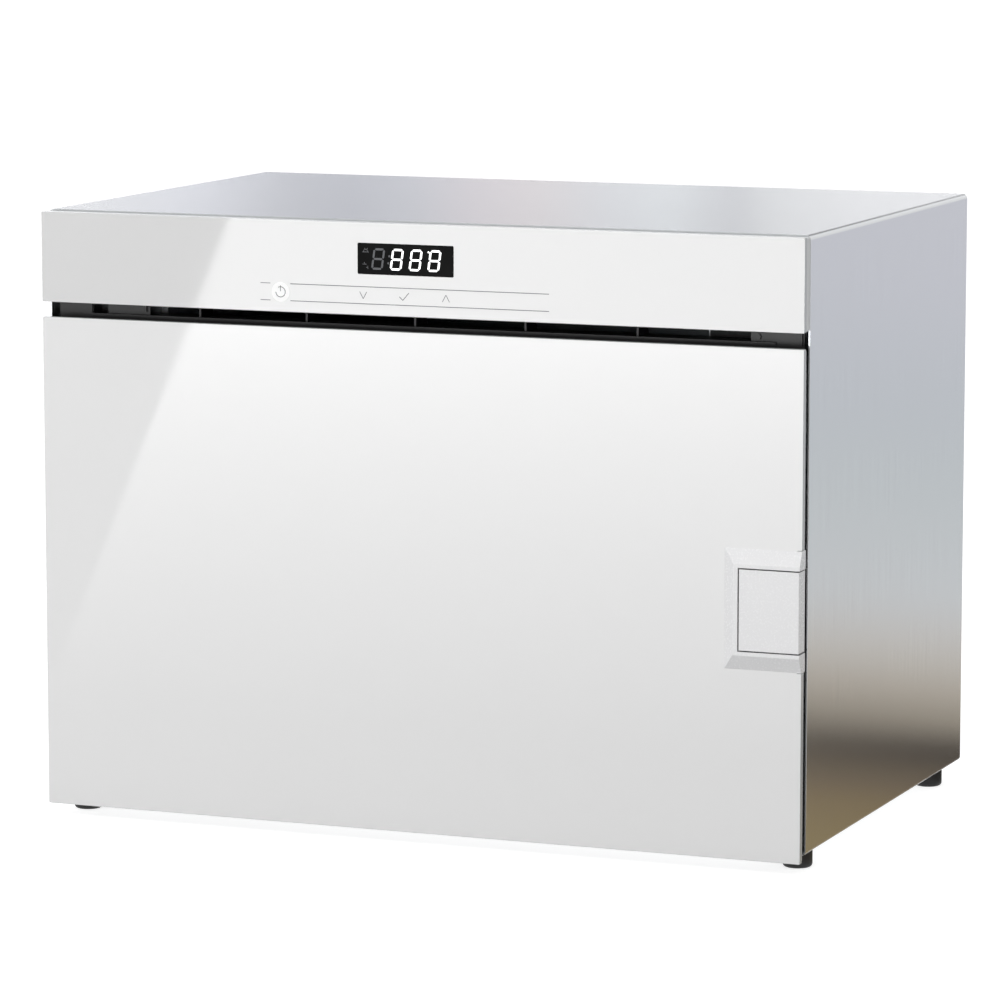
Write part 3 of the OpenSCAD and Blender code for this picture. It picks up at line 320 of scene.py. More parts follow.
def moulded(name, hex_value, low, high, grain_mm, bump_mm, **sockets):
    made, tree, shader = material(name, hex_value, (low + high) / 2, **sockets)
    wear(tree, shader, low, high, grain_mm, (1, 1, 1), bump_mm)
    return made


def lit(name, hex_value, strength):
    """A light-emitting segment: its plastic is pale, and it glows evenly."""
    made, tree, shader = material(name, hex_value, 0.4, Emission_Strength=strength)
    shader.inputs["Emission Color"].default_value = colour(hex_value)
    wear(tree, shader, 0.35, 0.45, 1.0)
    return made


door_white = moulded("white_backed_float_glass", "#e7e7e7", 0.02, 0.035, 60, 0.0, IOR=1.52)
# The fascia is the same white-backed glass as the door; its greyer base colour is painted shade.
fascia_glass_painted_shade = moulded("white_backed_float_glass_painted_shade", "#d9d9d9", 0.02, 0.035, 60, 0.0, IOR=1.52)
glass_edge = moulded("ground_glass_edge", "#b9bdbd", 0.12, 0.2, 0.6, 0.002, IOR=1.52)
black_film = moulded("anti_reflective_black_film", "#010101", 0.1, 0.16, 30, 0.0,
                     Specular_IOR_Level=0.03)
screen_grey = moulded("grey_screen_print", "#6a6c6f", 0.35, 0.45, 0.5, 0.001, IOR=1.5)
# A whiter disc under the power ring: painted highlight that stands in for the lit finger dimple.
dimple_painted_highlight = moulded("white_dimple_painted_highlight", "#fafafa", 0.3, 0.4, 0.5, 0.001, IOR=1.5)
lit_segment = lit("lit_readout_segment", "#ffffff", 1.0)
# The unlit segments glow faintly too: a painted glow, since they are not lit.
dim_segment_painted_glow = lit("unlit_readout_segment_painted_glow", "#47484b", 0.12)
white_abs = moulded("moulded_white_abs", "#e4e4e5", 0.22, 0.3, 1.2, 0.003, IOR=1.53)
light_abs = moulded("moulded_light_grey_abs", "#d3d5d6", 0.38, 0.5, 0.8, 0.008, IOR=1.53)
grey_pp = moulded("moulded_grey_polypropylene", "#7d8388", 0.42, 0.55, 0.8, 0.01, IOR=1.49)
black_pbt = moulded("moulded_black_pbt", "#0d0d0f", 0.36, 0.48, 0.7, 0.008, IOR=1.55)
# Also put on the opener plate's sides, where it is painted shade for the deep gap round the plate.
black_rubber_and_gap_shade = moulded("matt_black_rubber_and_painted_gap_shade", "#0b0b0c", 0.5, 0.65, 0.6, 0.02, IOR=1.52)
dark_silicone = moulded("dark_grey_silicone", "#35373a", 0.5, 0.62, 2.0, 0.01, IOR=1.41)
hose_silicone = moulded("milky_silicone_hose", "#ddd9cf", 0.35, 0.45, 3.0, 0.006, IOR=1.41,
                        Subsurface_Weight=0.25, Subsurface_Scale=0.004)
tank_clear = moulded("clear_blue_tritan", "#cfe3ef", 0.06, 0.12, 20, 0.0, IOR=1.54,
                     Transmission_Weight=0.85)
motor_paint = moulded("black_coated_motor_can", "#3c3e41", 0.35, 0.45, 1.5, 0.006)
copper_pad = moulded("tinned_copper_pad", "#c08a54", 0.3, 0.4, 1.0, 0.004, Metallic=1.0)
component_epoxy = moulded("moulded_epoxy_component", "#26282a", 0.45, 0.6, 0.8, 0.008)


def fibre_blanket():
    """Pressed mineral wool: tangled fibres in warm patches about 3 mm across."""
    made, tree, shader = material("pressed_mineral_wool", "#cdb988", 0.95)
    noise = wear(tree, shader, 0.88, 1.0, 3.0, (1, 1, 4), 0.5, detail=8.0)
    tint = add(tree, "ShaderNodeMix", {"Factor": noise.outputs["Fac"], 6: colour("#b89f6a"),
               7: colour("#e0d2a8")}, data_type="RGBA")
    tree.links.new(tint.outputs[2], shader.inputs["Base Color"])
    return made


def circuit_board():
    """Green solder mask with tracks: cells 2.5 mm apart under the lacquer."""
    made, tree, shader = material("green_solder_mask", "#1f5b38", 0.3)
    place = add(tree, "ShaderNodeTexCoord")
    tracks = add(tree, "ShaderNodeTexVoronoi", {"Vector": place.outputs["Object"],
                 "Scale": 1 / (2.5 * MM)}, distance="MANHATTAN", feature="F1")
    line = add(tree, "ShaderNodeMapRange", {"Value": tracks.outputs["Distance"],
               "From Min": 0.42, "From Max": 0.5})
    tint = add(tree, "ShaderNodeMix", {"Factor": line.outputs["Result"], 6: colour("#1b5233"),
               7: colour("#3f8a57")}, data_type="RGBA")
    tree.links.new(tint.outputs[2], shader.inputs["Base Color"])
    return made


mineral_wool = fibre_blanket()
solder_mask = circuit_board()

# %% Give every measured part its finish
FINISHES = {
    casing_steel: ["outer_casing"],
    plain_steel: ["base_pan", "rear_panel", "front_frame", "electronics_shelf", "pump_bracket"],
    screw_steel: ["rear_panel_screws", "foot_screws", "rack_studs"],
    black_rubber_and_gap_shade: ["feet"],
    cavity_steel: ["cavity_liner", "door_pan", "steam_container", "drip_tray", "steam_nozzle",
                   "temperature_probe"],
    mineral_wool: ["cavity_insulation", "door_insulation"],
    dark_silicone: ["door_seal"],
    rack_wire: ["shelf_rack_left", "shelf_rack_right"],
    cast_aluminium: ["floor_heater"],
    boiler_steel: ["steam_generator", "generator_lid"],
    element_steel: ["heating_element"],
    black_pbt: ["overheat_cutout", "terminal_block", "cable_gland", "tank_coupling",
                "coupling_socket", "vent_strip", "fan_housing", "fan_impeller", "feed_pump"],
    hose_silicone: ["steam_hose", "water_hoses"],
    grey_pp: ["tank_bay", "air_duct", "water_tank_lid"],
    tank_clear: ["water_tank"],
    motor_paint: ["fan_motor"],
    fascia_glass_painted_shade: ["fascia_panel"],
    door_white: ["door_glass"],
    light_abs: ["fascia_carrier", "door_frame"],
    black_film: ["display_window"],
    component_epoxy: ["display_module", "power_components"],
    copper_pad: ["touch_sensors"],
    solder_mask: ["control_board", "power_board"],
    hinge_steel: ["hinge_arms", "hinge_brackets", "hinge_pins", "catch_spring", "latch_mount",
                  "opener_spring", "latch_hook"],
    white_abs: ["opener_bezel", "opener_plate"],
}
for finish, names in FINISHES.items():
    for name in names:
        nodes[name].data.materials.clear()
        nodes[name].data.materials.append(finish)
print("finished", sum(map(len, FINISHES.values())), "of", len(nodes), "measured parts")

# %% [markdown]
# ## Tools for modelling
# A piece starts as a primitive of the right size at the right place. Edit mode then works on the
# faces, edges or corners that a small test picks, by their place or their direction. Modifiers give
# it its bevels and walls, and are applied. The tools below do just those steps. Everything is
# deselected first, because an operator acts on all that is selected.

# %% Modelling tools
KINDS = {"FACE": "polygons", "EDGE": "edges", "VERT": "vertices"}


def pick_only(piece):
    bpy.ops.object.select_all(action="DESELECT")
    piece.select_set(True)
    bpy.context.view_layer.objects.active = piece


def settle(piece):
    """Writes the object's place, turn and size into its mesh, so that the object sits at the origin."""
    pick_only(piece)
    bpy.ops.object.transform_apply(location=True, rotation=True, scale=True)
    return piece


def block(name, low, high):
    """A cube primitive between two corners."""
    low, high = Vector(low), Vector(high)
    bpy.ops.object.select_all(action="DESELECT")
    bpy.ops.mesh.primitive_cube_add(size=1, location=(low + high) / 2)
    made = bpy.context.object
    made.name = name
    made.scale = high - low
    return settle(made)


def rod(name, at, radius, length, axis="Z", sides=32):
    """A cylinder primitive that starts at a point and runs along an axis."""
    turn = {"X": (0, math.pi / 2, 0), "Y": (-math.pi / 2, 0, 0), "Z": (0, 0, 0)}[axis]
    way = {"X": Vector((1, 0, 0)), "Y": Vector((0, 1, 0)), "Z": Vector((0, 0, 1))}[axis]
    bpy.ops.object.select_all(action="DESELECT")
    bpy.ops.mesh.primitive_cylinder_add(vertices=sides, radius=radius, depth=length, rotation=turn,
                                        location=Vector(at) + way * length / 2)
    made = bpy.context.object
    made.name = name
    return settle(made)


def middle(part, mesh):
    """The middle of a face, an edge or a corner."""
    if isinstance(part, bpy.types.MeshPolygon):
        return part.center
    if isinstance(part, bpy.types.MeshEdge):
        return (mesh.vertices[part.vertices[0]].co + mesh.vertices[part.vertices[1]].co) / 2
    return part.co


def edit(piece, kind, test):
    """Opens edit mode with the parts selected whose middle passes the test."""
    pick_only(piece)
    bpy.ops.object.mode_set(mode="EDIT")
    bpy.ops.mesh.select_mode(type=kind)
    bpy.ops.mesh.select_all(action="DESELECT")
    bpy.ops.object.mode_set(mode="OBJECT")
    for part in getattr(piece.data, KINDS[kind]):
        part.select = bool(test(part, middle(part, piece.data)))
    bpy.ops.object.mode_set(mode="EDIT")


def close():
    bpy.ops.object.mode_set(mode="OBJECT")




def modify(piece, kind, **settings):
    made = piece.modifiers.new(kind.lower(), kind)
    for name, value in settings.items():
        setattr(made, name, value)
    pick_only(piece)
    bpy.ops.object.modifier_apply(modifier=made.name)
    return piece


def cut(piece, cutter):
    modify(piece, "BOOLEAN", object=cutter, operation="DIFFERENCE", solver="EXACT")
    bpy.data.objects.remove(cutter)
    return piece


def merge(piece, other):
    modify(piece, "BOOLEAN", object=other, operation="UNION", solver="EXACT")
    bpy.data.objects.remove(other)
    return piece


def soften(piece, width, segments=2, angle=40):
    """Breaks the sharp edges: no real part has a perfect one, and the small bevel catches light."""
    return modify(piece, "BEVEL", width=width, segments=segments, limit_method="ANGLE",
                  angle_limit=math.radians(angle), harden_normals=False)


def join(name, pieces):
    pick_only(pieces[0])
    for other in pieces[1:]:
        other.select_set(True)
    bpy.ops.object.join()
    made = bpy.context.object
    made.name = name
    return made


def copy_of(piece, offset):
    """A copy with its own mesh, moved by an offset."""
    made = piece.copy()
    made.data = piece.data.copy()
    bpy.context.scene.collection.objects.link(made)
    made.data.transform(Matrix.Translation(offset))
    return made


def dress(piece, finish, body, slot, *replaced, angle=35):
    """Gives a piece its finish and body. The weighted normals keep a large face flat to the
    eye right up to its bevel, because the large face outweighs the narrow one."""
    if finish:
        piece.data.materials.clear()
        piece.data.materials.append(finish)
    pick_only(piece)
    bpy.ops.object.shade_smooth_by_angle(angle=math.radians(angle))
    modify(piece, "WEIGHTED_NORMAL", keep_sharp=True)
    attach(piece, body)
    if replaced:
        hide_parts(*replaced)
    print(piece.name, "has", len(piece.data.polygons), "faces")
    return piece


def solids_of(name):
    """The boxes of the separate solids in one measured part, as pairs of corners."""
    mesh = nodes[name].data
    home = {}
    owner = list(range(len(mesh.vertices)))

    def root(i):
        while owner[i] != i:
            owner[i] = owner[owner[i]]
            i = owner[i]
        return i

    for vertex in mesh.vertices:
        key = tuple(round(c / (0.002 * MM)) for c in vertex.co)
        owner[root(vertex.index)] = root(home.setdefault(key, vertex.index))
    for face in mesh.polygons:
        for other in face.vertices[1:]:
            owner[root(other)] = root(face.vertices[0])
    groups = {}
    for vertex in mesh.vertices:
        groups.setdefault(root(vertex.index), []).append(vertex.co)
    return [(Vector(map(min, zip(*points))), Vector(map(max, zip(*points))))
            for points in groups.values()]


# %% [markdown]
# ## The door's glass
# The door is a 4 mm sheet of float glass with ground and polished edges. At the right it has a
# notch for the opener. A sheet starts as a cube of its size. The notch is cut with a second cube,
# and a narrow bevel round every edge makes the bright line that shows where real glass ends.

# %% Glass sheets


def glass_sheet(name, low, high, cuts, corner, finish):
    sheet = block(name, low, high)
    for number, (cut_low, cut_high) in enumerate(cuts):
        cut(sheet, block(f"{name}_cut_{number}", cut_low, cut_high))
    pick_only(sheet)

    def depth_edge(edge, _):
        ends = [sheet.data.vertices[i].co for i in edge.vertices]
        return abs((ends[1] - ends[0]).normalized().y) > 0.99

    edit(sheet, "EDGE", depth_edge)
    bpy.ops.mesh.bevel(offset=corner, segments=4, affect="EDGES")
    close()
    return dress_glass(soften(sheet, 0.45 * MM, 2, 60), finish)


def dress_glass(sheet, finish):
    """The face takes the painted glass, and the ground edge its own paler finish."""
    sheet.data.materials.clear()
    sheet.data.materials.append(finish)
    sheet.data.materials.append(glass_edge)
    for face in sheet.data.polygons:
        face.material_index = 0 if abs(face.normal.y) > 0.9 else 1
    return sheet


PLATE_CUT, LIP_CUT = 1.0 * MM, 3.2 * MM
glass_low, glass_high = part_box("door_glass")
bezel_low, bezel_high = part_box("opener_bezel")
plate_low, plate_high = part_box("opener_plate")
notch = (Vector((plate_low.x - PLATE_CUT, glass_low.y - MM, plate_low.z - PLATE_CUT)),
         Vector((glass_high.x + MM, glass_high.y + MM, plate_high.z + PLATE_CUT)))
lip_room = (Vector((glass_high.x - LIP_CUT, glass_low.y - MM, bezel_low.z - 0.2 * MM)),
            Vector((glass_high.x + MM, glass_high.y + MM, bezel_high.z + 0.2 * MM)))
door_sheet = glass_sheet("door_glass_sheet", glass_low, glass_high, [notch, lip_room],
                         0.8 * MM, door_white)
dress(door_sheet, None, "door", "door_glass", "door_glass")

# %% [markdown]
# ## The fascia's glass
# The fascia is a narrow sheet of the same glass with a window for the readout. Its lower edge shows
# as a fine grey line over the dark ventilation slot.

# %% The fascia
fascia_low, fascia_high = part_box("fascia_panel")
window_low, window_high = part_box("display_window")
window_cut = (window_low - Vector((0.05 * MM, 2 * MM, 0.05 * MM)),
              window_high + Vector((0.05 * MM, 4 * MM, 0.05 * MM)))
# The fascia sheet's greyer base colour is painted shade on the same white glass as the door.
fascia_sheet = glass_sheet("fascia_glass_sheet", fascia_low, fascia_high, [window_cut],
                           0.8 * MM, fascia_glass_painted_shade)
dress(fascia_sheet, None, "cabinet", "fascia_glass", "fascia_panel")

# %% [markdown]
# ## The readout
# The window is a black film in the fascia. Behind it glow four slanted seven-segment figures. A
# segment is a bar with two pointed ends: a cube whose four end edges are bevelled by almost half its
# height. One bar is modelled, turned, copied into seven places and slanted, and that figure is copied
# four times. Three figures are lit, and the first, the colon and two small symbols stay dark grey.

# %% Segments and figures
FIGURE_H, FIGURE_W, FIGURE_STEP = 13 * MM, 7.6 * MM, 12.2 * MM
BAR, GAP, SLANT = 1.25 * MM, 0.3 * MM, 0.14
PRINT_T = 0.04 * MM
face_y = fascia_low.y
window_face = window_low.y


def pointed_bar(name, at, length, upright):
    """A segment that starts at a point and runs right or up, with a point at each end."""
    x, z = at
    along_x, along_z = (0, length) if upright else (length, 0)
    half = BAR / 2
    low = Vector((x + (GAP if not upright else -half), window_face - PRINT_T,
                  z + (GAP if upright else -half)))
    high = Vector((x + along_x - GAP if not upright else x + half, window_face - 0.01 * MM,
                   z + along_z - GAP if upright else z + half))
    bar = block(name, low, high)

    def end_edge(edge, _):
        ends = [bar.data.vertices[i].co for i in edge.vertices]
        return abs((ends[1] - ends[0]).normalized().y) > 0.99

    edit(bar, "EDGE", end_edge)
    bpy.ops.mesh.bevel(offset=0.48 * BAR, segments=1, affect="EDGES")
    close()
    return bar


def figure(name, x, z, shown):
    """One figure: shown is a string of the segments' numbers, from 0 at the foot to 6 at the top."""
    wide = FIGURE_W - BAR
    tall = (FIGURE_H - BAR) / 2
    places = [((0, 0), False), ((0, 0), True), ((wide, 0), True), ((0, tall), False),
              ((0, tall), True), ((wide, tall), True), ((0, 2 * tall), False)]
    bars = []
    for number, ((dx, dz), upright) in enumerate(places):
        if str(number) in shown:
            bars.append(pointed_bar(f"{name}_{number}", (x + dx, z + dz), tall if upright else wide,
                                    upright))
    made = join(name, bars) if len(bars) > 1 else bars[0]
    for vertex in made.data.vertices:
        vertex.co.x += SLANT * (vertex.co.z - z)
    return made


def dot(name, x, z, radius, y):
    bead = rod(name, (x, y - PRINT_T, z), radius, PRINT_T, "Y", 20)
    return soften(bead, 0.2 * PRINT_T, 1)


FIGURE_X = window_low.x + 9.4 * MM
FIGURE_Z = (window_low.z + window_high.z - FIGURE_H + BAR) / 2
lit_figures = [figure(f"lit_figure_{i}", FIGURE_X + i * FIGURE_STEP, FIGURE_Z, "0123456")
               for i in (1, 2, 3)]
degree = dot("degree_dot", FIGURE_X + 2.86 * FIGURE_STEP + SLANT * FIGURE_H, FIGURE_Z + FIGURE_H
             - 1.6 * BAR, 0.55 * MM, window_face - 0.01 * MM)
readout = join("lit_readout", lit_figures + [degree])
dress(readout, lit_segment, "cabinet", "display_body")
unlit = [figure("unlit_figure", FIGURE_X, FIGURE_Z, "0123456")]
for rise in (0.3, 0.66):
    unlit.append(dot(f"colon_{rise}", FIGURE_X + 0.83 * FIGURE_STEP + SLANT * rise * FIGURE_H,
                     FIGURE_Z + rise * (FIGURE_H - BAR), 0.65 * MM, window_face - 0.01 * MM))


# %% [markdown]
# ## Lines, arcs and symbols
# The touch keys are screen-printed marks on the glass: two fine lines, an arrow down, an arrow up, a
# tick for confirming, and a ring with a stroke for switching on. Under the ring lies a whiter disc: a
# painted highlight that stands in for the lit finger dimple of the power key. A stroke is a cube as
# thin as ink, turned to its direction. A ring is a small square swept round with Spin.

# %% Printed marks
INK_Y = face_y


def stroke(name, start, end, width, y=None):
    """An ink stroke between two points in the front plane."""
    (x0, z0), (x1, z1) = start, end
    length = math.hypot(x1 - x0, z1 - z0)
    bpy.ops.object.select_all(action="DESELECT")
    front = (INK_Y if y is None else y) - PRINT_T / 2
    bpy.ops.mesh.primitive_cube_add(size=1, location=((x0 + x1) / 2, front, (z0 + z1) / 2),
                                    rotation=(0, -math.atan2(z1 - z0, x1 - x0), 0))
    made = bpy.context.object
    made.name = name
    made.scale = (length, PRINT_T, width)
    return settle(made)


def arc(name, centre, radius, width, start_deg, sweep_deg, y=None, steps=36):
    """An ink arc: a small upright square spun about the depth axis."""
    front = (INK_Y if y is None else y) - PRINT_T / 2
    bpy.ops.object.select_all(action="DESELECT")
    bpy.ops.mesh.primitive_plane_add(size=1, location=(radius, 0, 0))
    made = bpy.context.object
    made.name = name
    made.scale = (width, PRINT_T, 1)
    settle(made)
    edit(made, "FACE", lambda face, at: True)
    bpy.ops.mesh.spin(steps=steps, angle=math.radians(sweep_deg), center=(0, 0, 0), axis=(0, -1, 0))
    bpy.ops.mesh.select_all(action="SELECT")
    bpy.ops.mesh.remove_doubles(threshold=0.001 * MM)
    bpy.ops.mesh.normals_make_consistent(inside=False)
    close()
    made.data.transform(Matrix.Translation((centre[0], front, centre[1])) @
                        Matrix.Rotation(math.radians(-start_deg), 4, "Y"))
    return made


key_middles = sorted(((low + high) / 2 for low, high in solids_of("touch_sensors")),
                     key=lambda at: at.x)
power, down, confirm, up = [(at.x, at.z) for at in key_middles]
print("touch keys at", [[round(v / MM, 1) for v in at] for at in (power, down, confirm, up)])
LINE_W, LINE_RISE = 0.45 * MM, 5.15 * MM
line_x = [fascia_low.x + v * MM for v in (148.0, 154.6, 167.8, 335.7)]
marks = []
for rise in (LINE_RISE, -LINE_RISE):
    z = power[1] + rise
    marks.append(stroke("dash", (line_x[0], z), (line_x[1], z), LINE_W))
    marks.append(stroke("line", (line_x[2], z), (line_x[3], z), LINE_W))
for (x, z), way in ((down, -1), (up, 1)):
    for edge in (-1, 1):
        marks.append(stroke("arrow", (x + edge * 2.3 * MM, z - way * 2.1 * MM),
                            (x, z + way * 2.1 * MM), 0.4 * MM))
marks.append(stroke("tick_short", (confirm[0] - 3.0 * MM, confirm[1] - 0.1 * MM),
                    (confirm[0] - 0.7 * MM, confirm[1] - 2.2 * MM), 0.45 * MM))
marks.append(stroke("tick_long", (confirm[0] - 0.8 * MM, confirm[1] - 2.2 * MM),
                    (confirm[0] + 3.2 * MM, confirm[1] + 2.4 * MM), 0.45 * MM))
# The whiter disc is painted highlight for the lit finger dimple under the power ring.
disc = soften(rod("power_dimple_painted_highlight", (power[0], INK_Y - PRINT_T / 2, power[1]), 6 * MM, PRINT_T / 2, "Y",
                  48), 0.2 * PRINT_T, 1)
dress(disc, dimple_painted_highlight, "cabinet", "fascia_glass")
marks.append(arc("power_ring", power, 3.1 * MM, 0.45 * MM, 120, 300, INK_Y - PRINT_T / 2))
marks.append(stroke("power_stroke", (power[0], power[1] + 0.4 * MM), (power[0], power[1] + 3.9 * MM),
                    0.45 * MM, INK_Y - PRINT_T / 2))
fascia_marks = join("fascia_print", marks)
dress(fascia_marks, screen_grey, "cabinet", "fascia_glass")

# The two unlit symbols at the readout's left: a steaming pot, and a filling tap
FILM_Y = window_face - 0.01 * MM
pot_x, pot_z = window_low.x + 5.2 * MM, window_low.z + 13.4 * MM
tap_x, tap_z = window_low.x + 5.2 * MM, window_low.z + 5.4 * MM
INK = 0.4 * MM
unlit.append(arc("pot_bowl", (pot_x, pot_z), 1.5 * MM, INK, 180, 180, FILM_Y, 16))
unlit.append(stroke("pot_rim", (pot_x - 2.1 * MM, pot_z), (pot_x + 2.1 * MM, pot_z), INK, FILM_Y))
for shift in (-0.8, 0.8):
    unlit.append(stroke("pot_steam", (pot_x + shift * MM, pot_z + 0.9 * MM),
                        (pot_x + (shift + 0.4) * MM, pot_z + 2.4 * MM), INK, FILM_Y))
unlit.append(stroke("tap_pipe", (tap_x - 2.0 * MM, tap_z + 0.6 * MM), (tap_x + 0.5 * MM, tap_z + 0.6
                    * MM), INK, FILM_Y))
unlit.append(arc("tap_bend", (tap_x + 0.5 * MM, tap_z - 0.4 * MM), 1.0 * MM, INK, 0, 90, FILM_Y, 10))
unlit.append(stroke("tap_handle", (tap_x - 0.8 * MM, tap_z + 0.6 * MM), (tap_x - 0.8 * MM, tap_z
                    + 1.9 * MM), INK, FILM_Y))
unlit.append(stroke("tap_drop", (tap_x + 1.5 * MM, tap_z - 2.2 * MM), (tap_x + 1.5 * MM, tap_z
                    - 1.2 * MM), INK, FILM_Y))
# The dark grey figure, colon and symbols carry a faint painted glow.
dress(join("unlit_readout", unlit), dim_segment_painted_glow, "cabinet", "display_body")

# %% [markdown]
# ## The opener's bezel
# The opener sits in a raised white frame. Its face slopes away to the left, above and below, and it
# wraps round the door's right edge with a thin lip. It starts as a cube. The front face's edges are
# pulled in to make the slopes, the opening is cut out, and the edges are broken by 0.35 mm.

# %% Bezel and plate
SIDE_SLOPE, END_SLOPE = 6.8 * MM, 9.0 * MM
LIP_T = 3.0 * MM
PLATE_GAP = 0.7 * MM
bezel = block("opener_bezel_frame", bezel_low, (bezel_high.x, glass_low.y, bezel_high.z))
for axis, edge_at, shift in ((0, bezel_low.x, SIDE_SLOPE), (2, bezel_low.z, END_SLOPE),
                             (2, bezel_high.z, -END_SLOPE)):
    edit(bezel, "VERT", lambda vertex, at: abs(at.y - bezel_low.y) < 0.01 * MM
         and abs(at[axis] - edge_at) < 0.01 * MM)
    move = [0, 0, 0]
    move[axis] = shift
    bpy.ops.transform.translate(value=move)
    close()
lip = block("bezel_lip", (bezel_high.x - LIP_T, glass_low.y - 0.4 * MM, bezel_low.z),
            (bezel_high.x, bezel_high.y, bezel_high.z))
merge(bezel, lip)
cut(bezel, block("bezel_window", (plate_low.x - PLATE_GAP, bezel_low.y - MM, plate_low.z - PLATE_GAP),
                 (bezel_high.x + MM, bezel_high.y + MM, plate_high.z + PLATE_GAP)))
soften(bezel, 0.3 * MM, 3, 25)
dress(bezel, white_abs, "door", "opener_white", "opener_bezel", angle=30)

# The plate: a slab and a lip round the edge, on two stems, with a tongue that turns the hook
slab_back = plate_low.y + 3 * MM
slab = block("plate_slab", plate_low, (plate_high.x, slab_back, plate_high.z))
plate_lip_y = max(high.y for low, high in [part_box("opener_bezel")]) + 0.5 * MM
plate_lip = block("plate_lip", (plate_high.x - 2.7 * MM, plate_low.y, plate_low.z),
                  (plate_high.x, plate_lip_y, plate_high.z))
merge(slab, plate_lip)
soften(slab, 0.35 * MM, 3, 30)
stem_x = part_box("opener_bezel")[1].x - 20 * MM
stems = []
for rise in (-16, 16):
    stem = rod("plate_stem", (stem_x, slab_back - 0.5 * MM, (plate_low.z + plate_high.z) / 2
                              + rise * MM), 3 * MM, 15 * MM, "Y", 28)
    stems.append(soften(stem, 0.4 * MM, 2))
hook_low, hook_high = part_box("latch_hook")
tongue_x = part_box("opener_bezel")[1].x - 34.5 * MM
tongue = soften(block("plate_tongue", (tongue_x - 1.5 * MM, slab_back - 0.5 * MM,
                                       (plate_low.z + plate_high.z) / 2 - 3 * MM),
                      (tongue_x + 1.5 * MM, plate_high.y, (plate_low.z + plate_high.z) / 2
                       + 3 * MM)), 0.3 * MM)
plate = join("opener_press_plate", [slab] + stems + [tongue])
plate.data.materials.clear()
plate.data.materials.append(white_abs)
plate.data.materials.append(black_rubber_and_gap_shade)
# The plate's side faces below its bevel take the black rubber finish: painted shade that draws the fine
# dark line of the deep gap round the plate.
for face in plate.data.polygons:
    side_with_painted_gap_shade = max(abs(face.normal.x), abs(face.normal.z)) > 0.95 and face.normal.x < 0.5
    face.material_index = 1 if side_with_painted_gap_shade and face.center.y > plate_low.y + 0.3 * MM else 0
dress(plate, None, "opener", "opener_white", "opener_plate", angle=30)

# %% [markdown]
# ## The casing
# The casing is one sheet of 1 mm brushed stainless steel, folded into an upside-down U, with a
# narrow flange turned in under each side. A profile like that is easiest as a block whose end faces
# and underside are deleted, whose two long upper edges are bevelled to the bend's radius, and which
# then gets its wall from Solidify.

# %% Casing
SHEET, BEND = 1.0 * MM, 3.0 * MM
FLANGE = 18 * MM
case_low, case_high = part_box("outer_casing")
casing = block("casing_wrap", case_low, case_high)
edit(casing, "FACE", lambda face, at: abs(face.normal.y) > 0.9 or face.normal.z < -0.9)
bpy.ops.mesh.delete(type="FACE")
close()
for side, way in ((case_low.x, 1), (case_high.x, -1)):
    edit(casing, "EDGE", lambda edge, at: at.z < case_low.z + 0.1 * MM and abs(at.x - side) < 0.1 * MM)
    bpy.ops.mesh.extrude_region_move(TRANSFORM_OT_translate={"value": (way * FLANGE, 0, 0)})
    close()

def long_fold(edge, at):
    on_side = min(abs(at.x - case_low.x), abs(at.x - case_high.x)) < 0.1 * MM
    on_level = min(abs(at.z - case_low.z), abs(at.z - case_high.z)) < 0.1 * MM
    return on_side and on_level and abs(at.y - (case_low.y + case_high.y) / 2) < MM


edit(casing, "EDGE", long_fold)
bpy.ops.mesh.bevel(offset=BEND, segments=6, affect="EDGES")
close()
edit(casing, "FACE", lambda face, at: True)
bpy.ops.mesh.normals_make_consistent(inside=False)
close()
modify(casing, "SOLIDIFY", thickness=SHEET, offset=-1, use_even_offset=True)
soften(casing, 0.12 * MM, 1, 60)
dress(casing, casing_steel, "cabinet", "casing_steel", "outer_casing", angle=30)

# %% [markdown]
# ## Screws
# The rear panel is held by pan-head screws with cross recesses, and the feet by the same screws from
# below. A screw is a cylinder whose outer edge is rounded, with two crossed slots cut in. It is
# modelled once and copied to every place the measured rear panel screws have.

# %% Screws and feet
AXES = {"X": Vector((1, 0, 0)), "Y": Vector((0, 1, 0)), "Z": Vector((0, 0, 1))}


def screw(name, centre, radius, head_t, way, axis, shank_r, shank_l):
    """A pan-head screw whose head's outer face lies at the centre and looks along way * axis."""
    unit = AXES[axis] * way
    start = centre if way < 0 else centre - AXES[axis] * head_t
    head = rod(name, start, radius, head_t, axis, 36)
    edit(head, "EDGE", lambda edge, at: (at - centre).dot(unit) > -0.01 * MM)
    bpy.ops.mesh.bevel(offset=0.45 * head_t, segments=4, affect="EDGES")
    close()
    slot_l, slot_w, slot_d = 0.62 * radius, 0.14 * radius, 0.5 * head_t
    others = [AXES[a] for a in "XYZ" if a != axis]
    for first, second in (others, others[::-1]):
        reach = first * slot_l + second * slot_w + unit * slot_d
        size = Vector(map(abs, reach))
        cut(head, block(name + "_slot", centre - size, centre + size))
    shank_from = centre - unit * (head_t + shank_l) if way > 0 else centre - unit * head_t
    shank = rod(name + "_shank", shank_from, shank_r, shank_l, axis, 24)
    return join(name, [head, soften(shank, 0.2 * MM)])


def copies(piece, first, places):
    return [piece] + [copy_of(piece, place - first) for place in places[1:]]


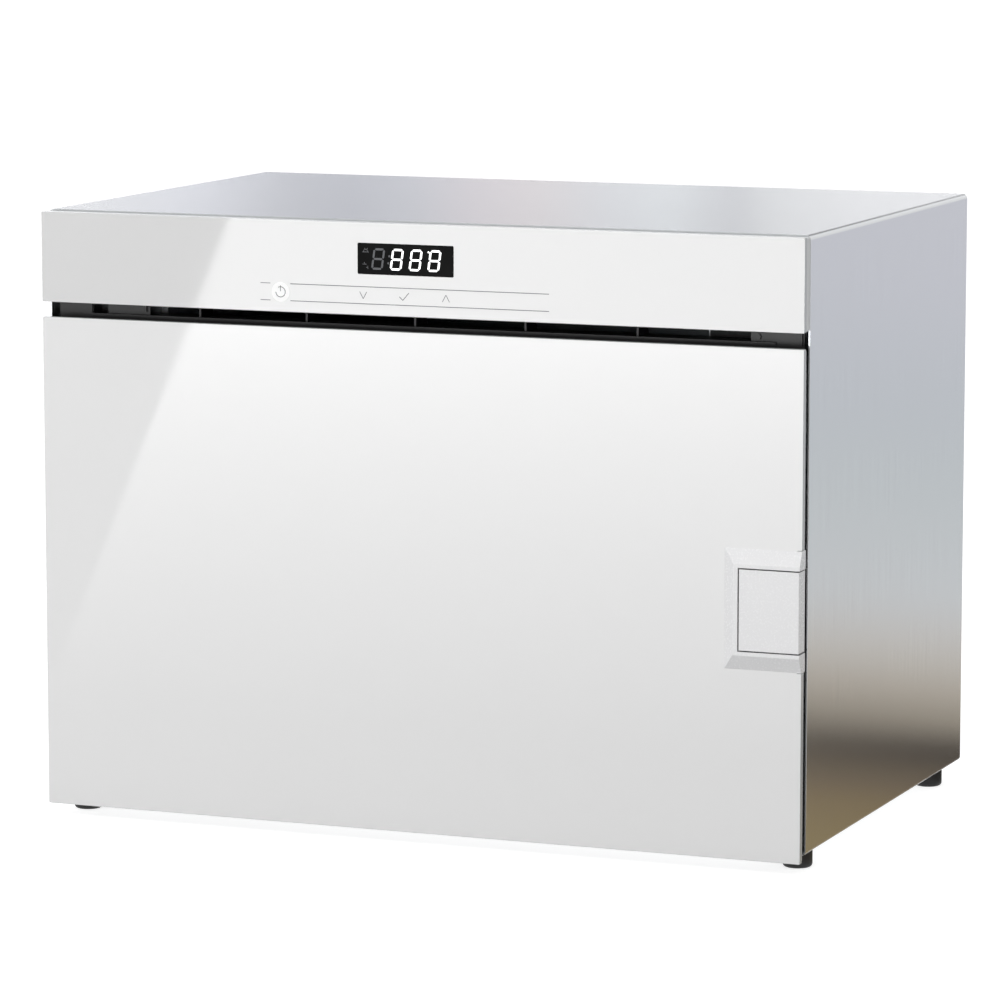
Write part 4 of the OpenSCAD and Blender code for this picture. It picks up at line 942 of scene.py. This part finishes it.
rear_places, rear_boxes = [], solids_of("rear_panel_screws")
for low, high in rear_boxes:
    rear_places.append(Vector(((low.x + high.x) / 2, high.y, (low.z + high.z) / 2)))
head_r = (rear_boxes[0][1].x - rear_boxes[0][0].x) / 2
shank_l = rear_boxes[0][1].y - rear_boxes[0][0].y - 2 * MM
first = screw("rear_screw", rear_places[0], head_r, 2 * MM, 1, "Y", 0.45 * head_r, shank_l)
rear_screws = join("rear_screw_set", copies(first, rear_places[0], rear_places))
dress(rear_screws, screw_steel, "cabinet", "screw_steel", "rear_panel_screws", angle=30)

foot_boxes = solids_of("feet")
low, high = foot_boxes[0]
centre = (low + high) / 2
foot_r = (high.x - low.x) / 2
print("foot", [round(v / MM, 2) for v in high - low], len(foot_boxes))
foot = rod("foot", (centre.x, centre.y, low.z), foot_r, high.z - low.z, "Z", 56)
edit(foot, "EDGE", lambda edge, at: at.z < low.z + 0.1 * MM)
bpy.ops.mesh.bevel(offset=2.2 * MM, segments=5, affect="EDGES")
close()
cut(foot, rod("foot_recess", (centre.x, centre.y, low.z - MM), 4.2 * MM,
              high.z - low.z - 1.1 * MM, "Z", 40))
cut(foot, rod("foot_hole", (centre.x, centre.y, low.z - MM), 2.2 * MM, high.z - low.z + 2 * MM, "Z",
              28))
soften(foot, 0.3 * MM, 2, 50)
foot_places = [(a + b) / 2 for a, b in foot_boxes]
feet = join("foot_set", copies(foot, foot_places[0], foot_places))
dress(feet, black_rubber_and_gap_shade, "cabinet", "foot_rubber", "feet", angle=30)

# %% [markdown]
# ## The black tape behind the slot
# At the right, the bare steel of the front frame lies straight behind the ventilation slot and would
# shine through it. A strip of black felt tape covers it there, as on real appliances. The tape
# starts as a thin block, and its rim is bevelled round like the cut edge of felt.

# %% Slot tape
frame_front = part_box("front_frame")[0].y
slot_floor = fascia_low.z - 8.6 * MM
TAPE_FROM, TAPE_TO, TAPE_T = 178 * MM, 224 * MM, 0.3 * MM
tape = block("slot_tape", (TAPE_FROM, frame_front - TAPE_T, slot_floor),
             (TAPE_TO, frame_front, fascia_low.z + 4 * MM))
soften(tape, 0.12 * MM, 3)
print("tape from", [round(v / MM, 1) for v in (TAPE_FROM, frame_front, slot_floor)])
dress(tape, black_rubber_and_gap_shade, "cabinet", "black_plastic")
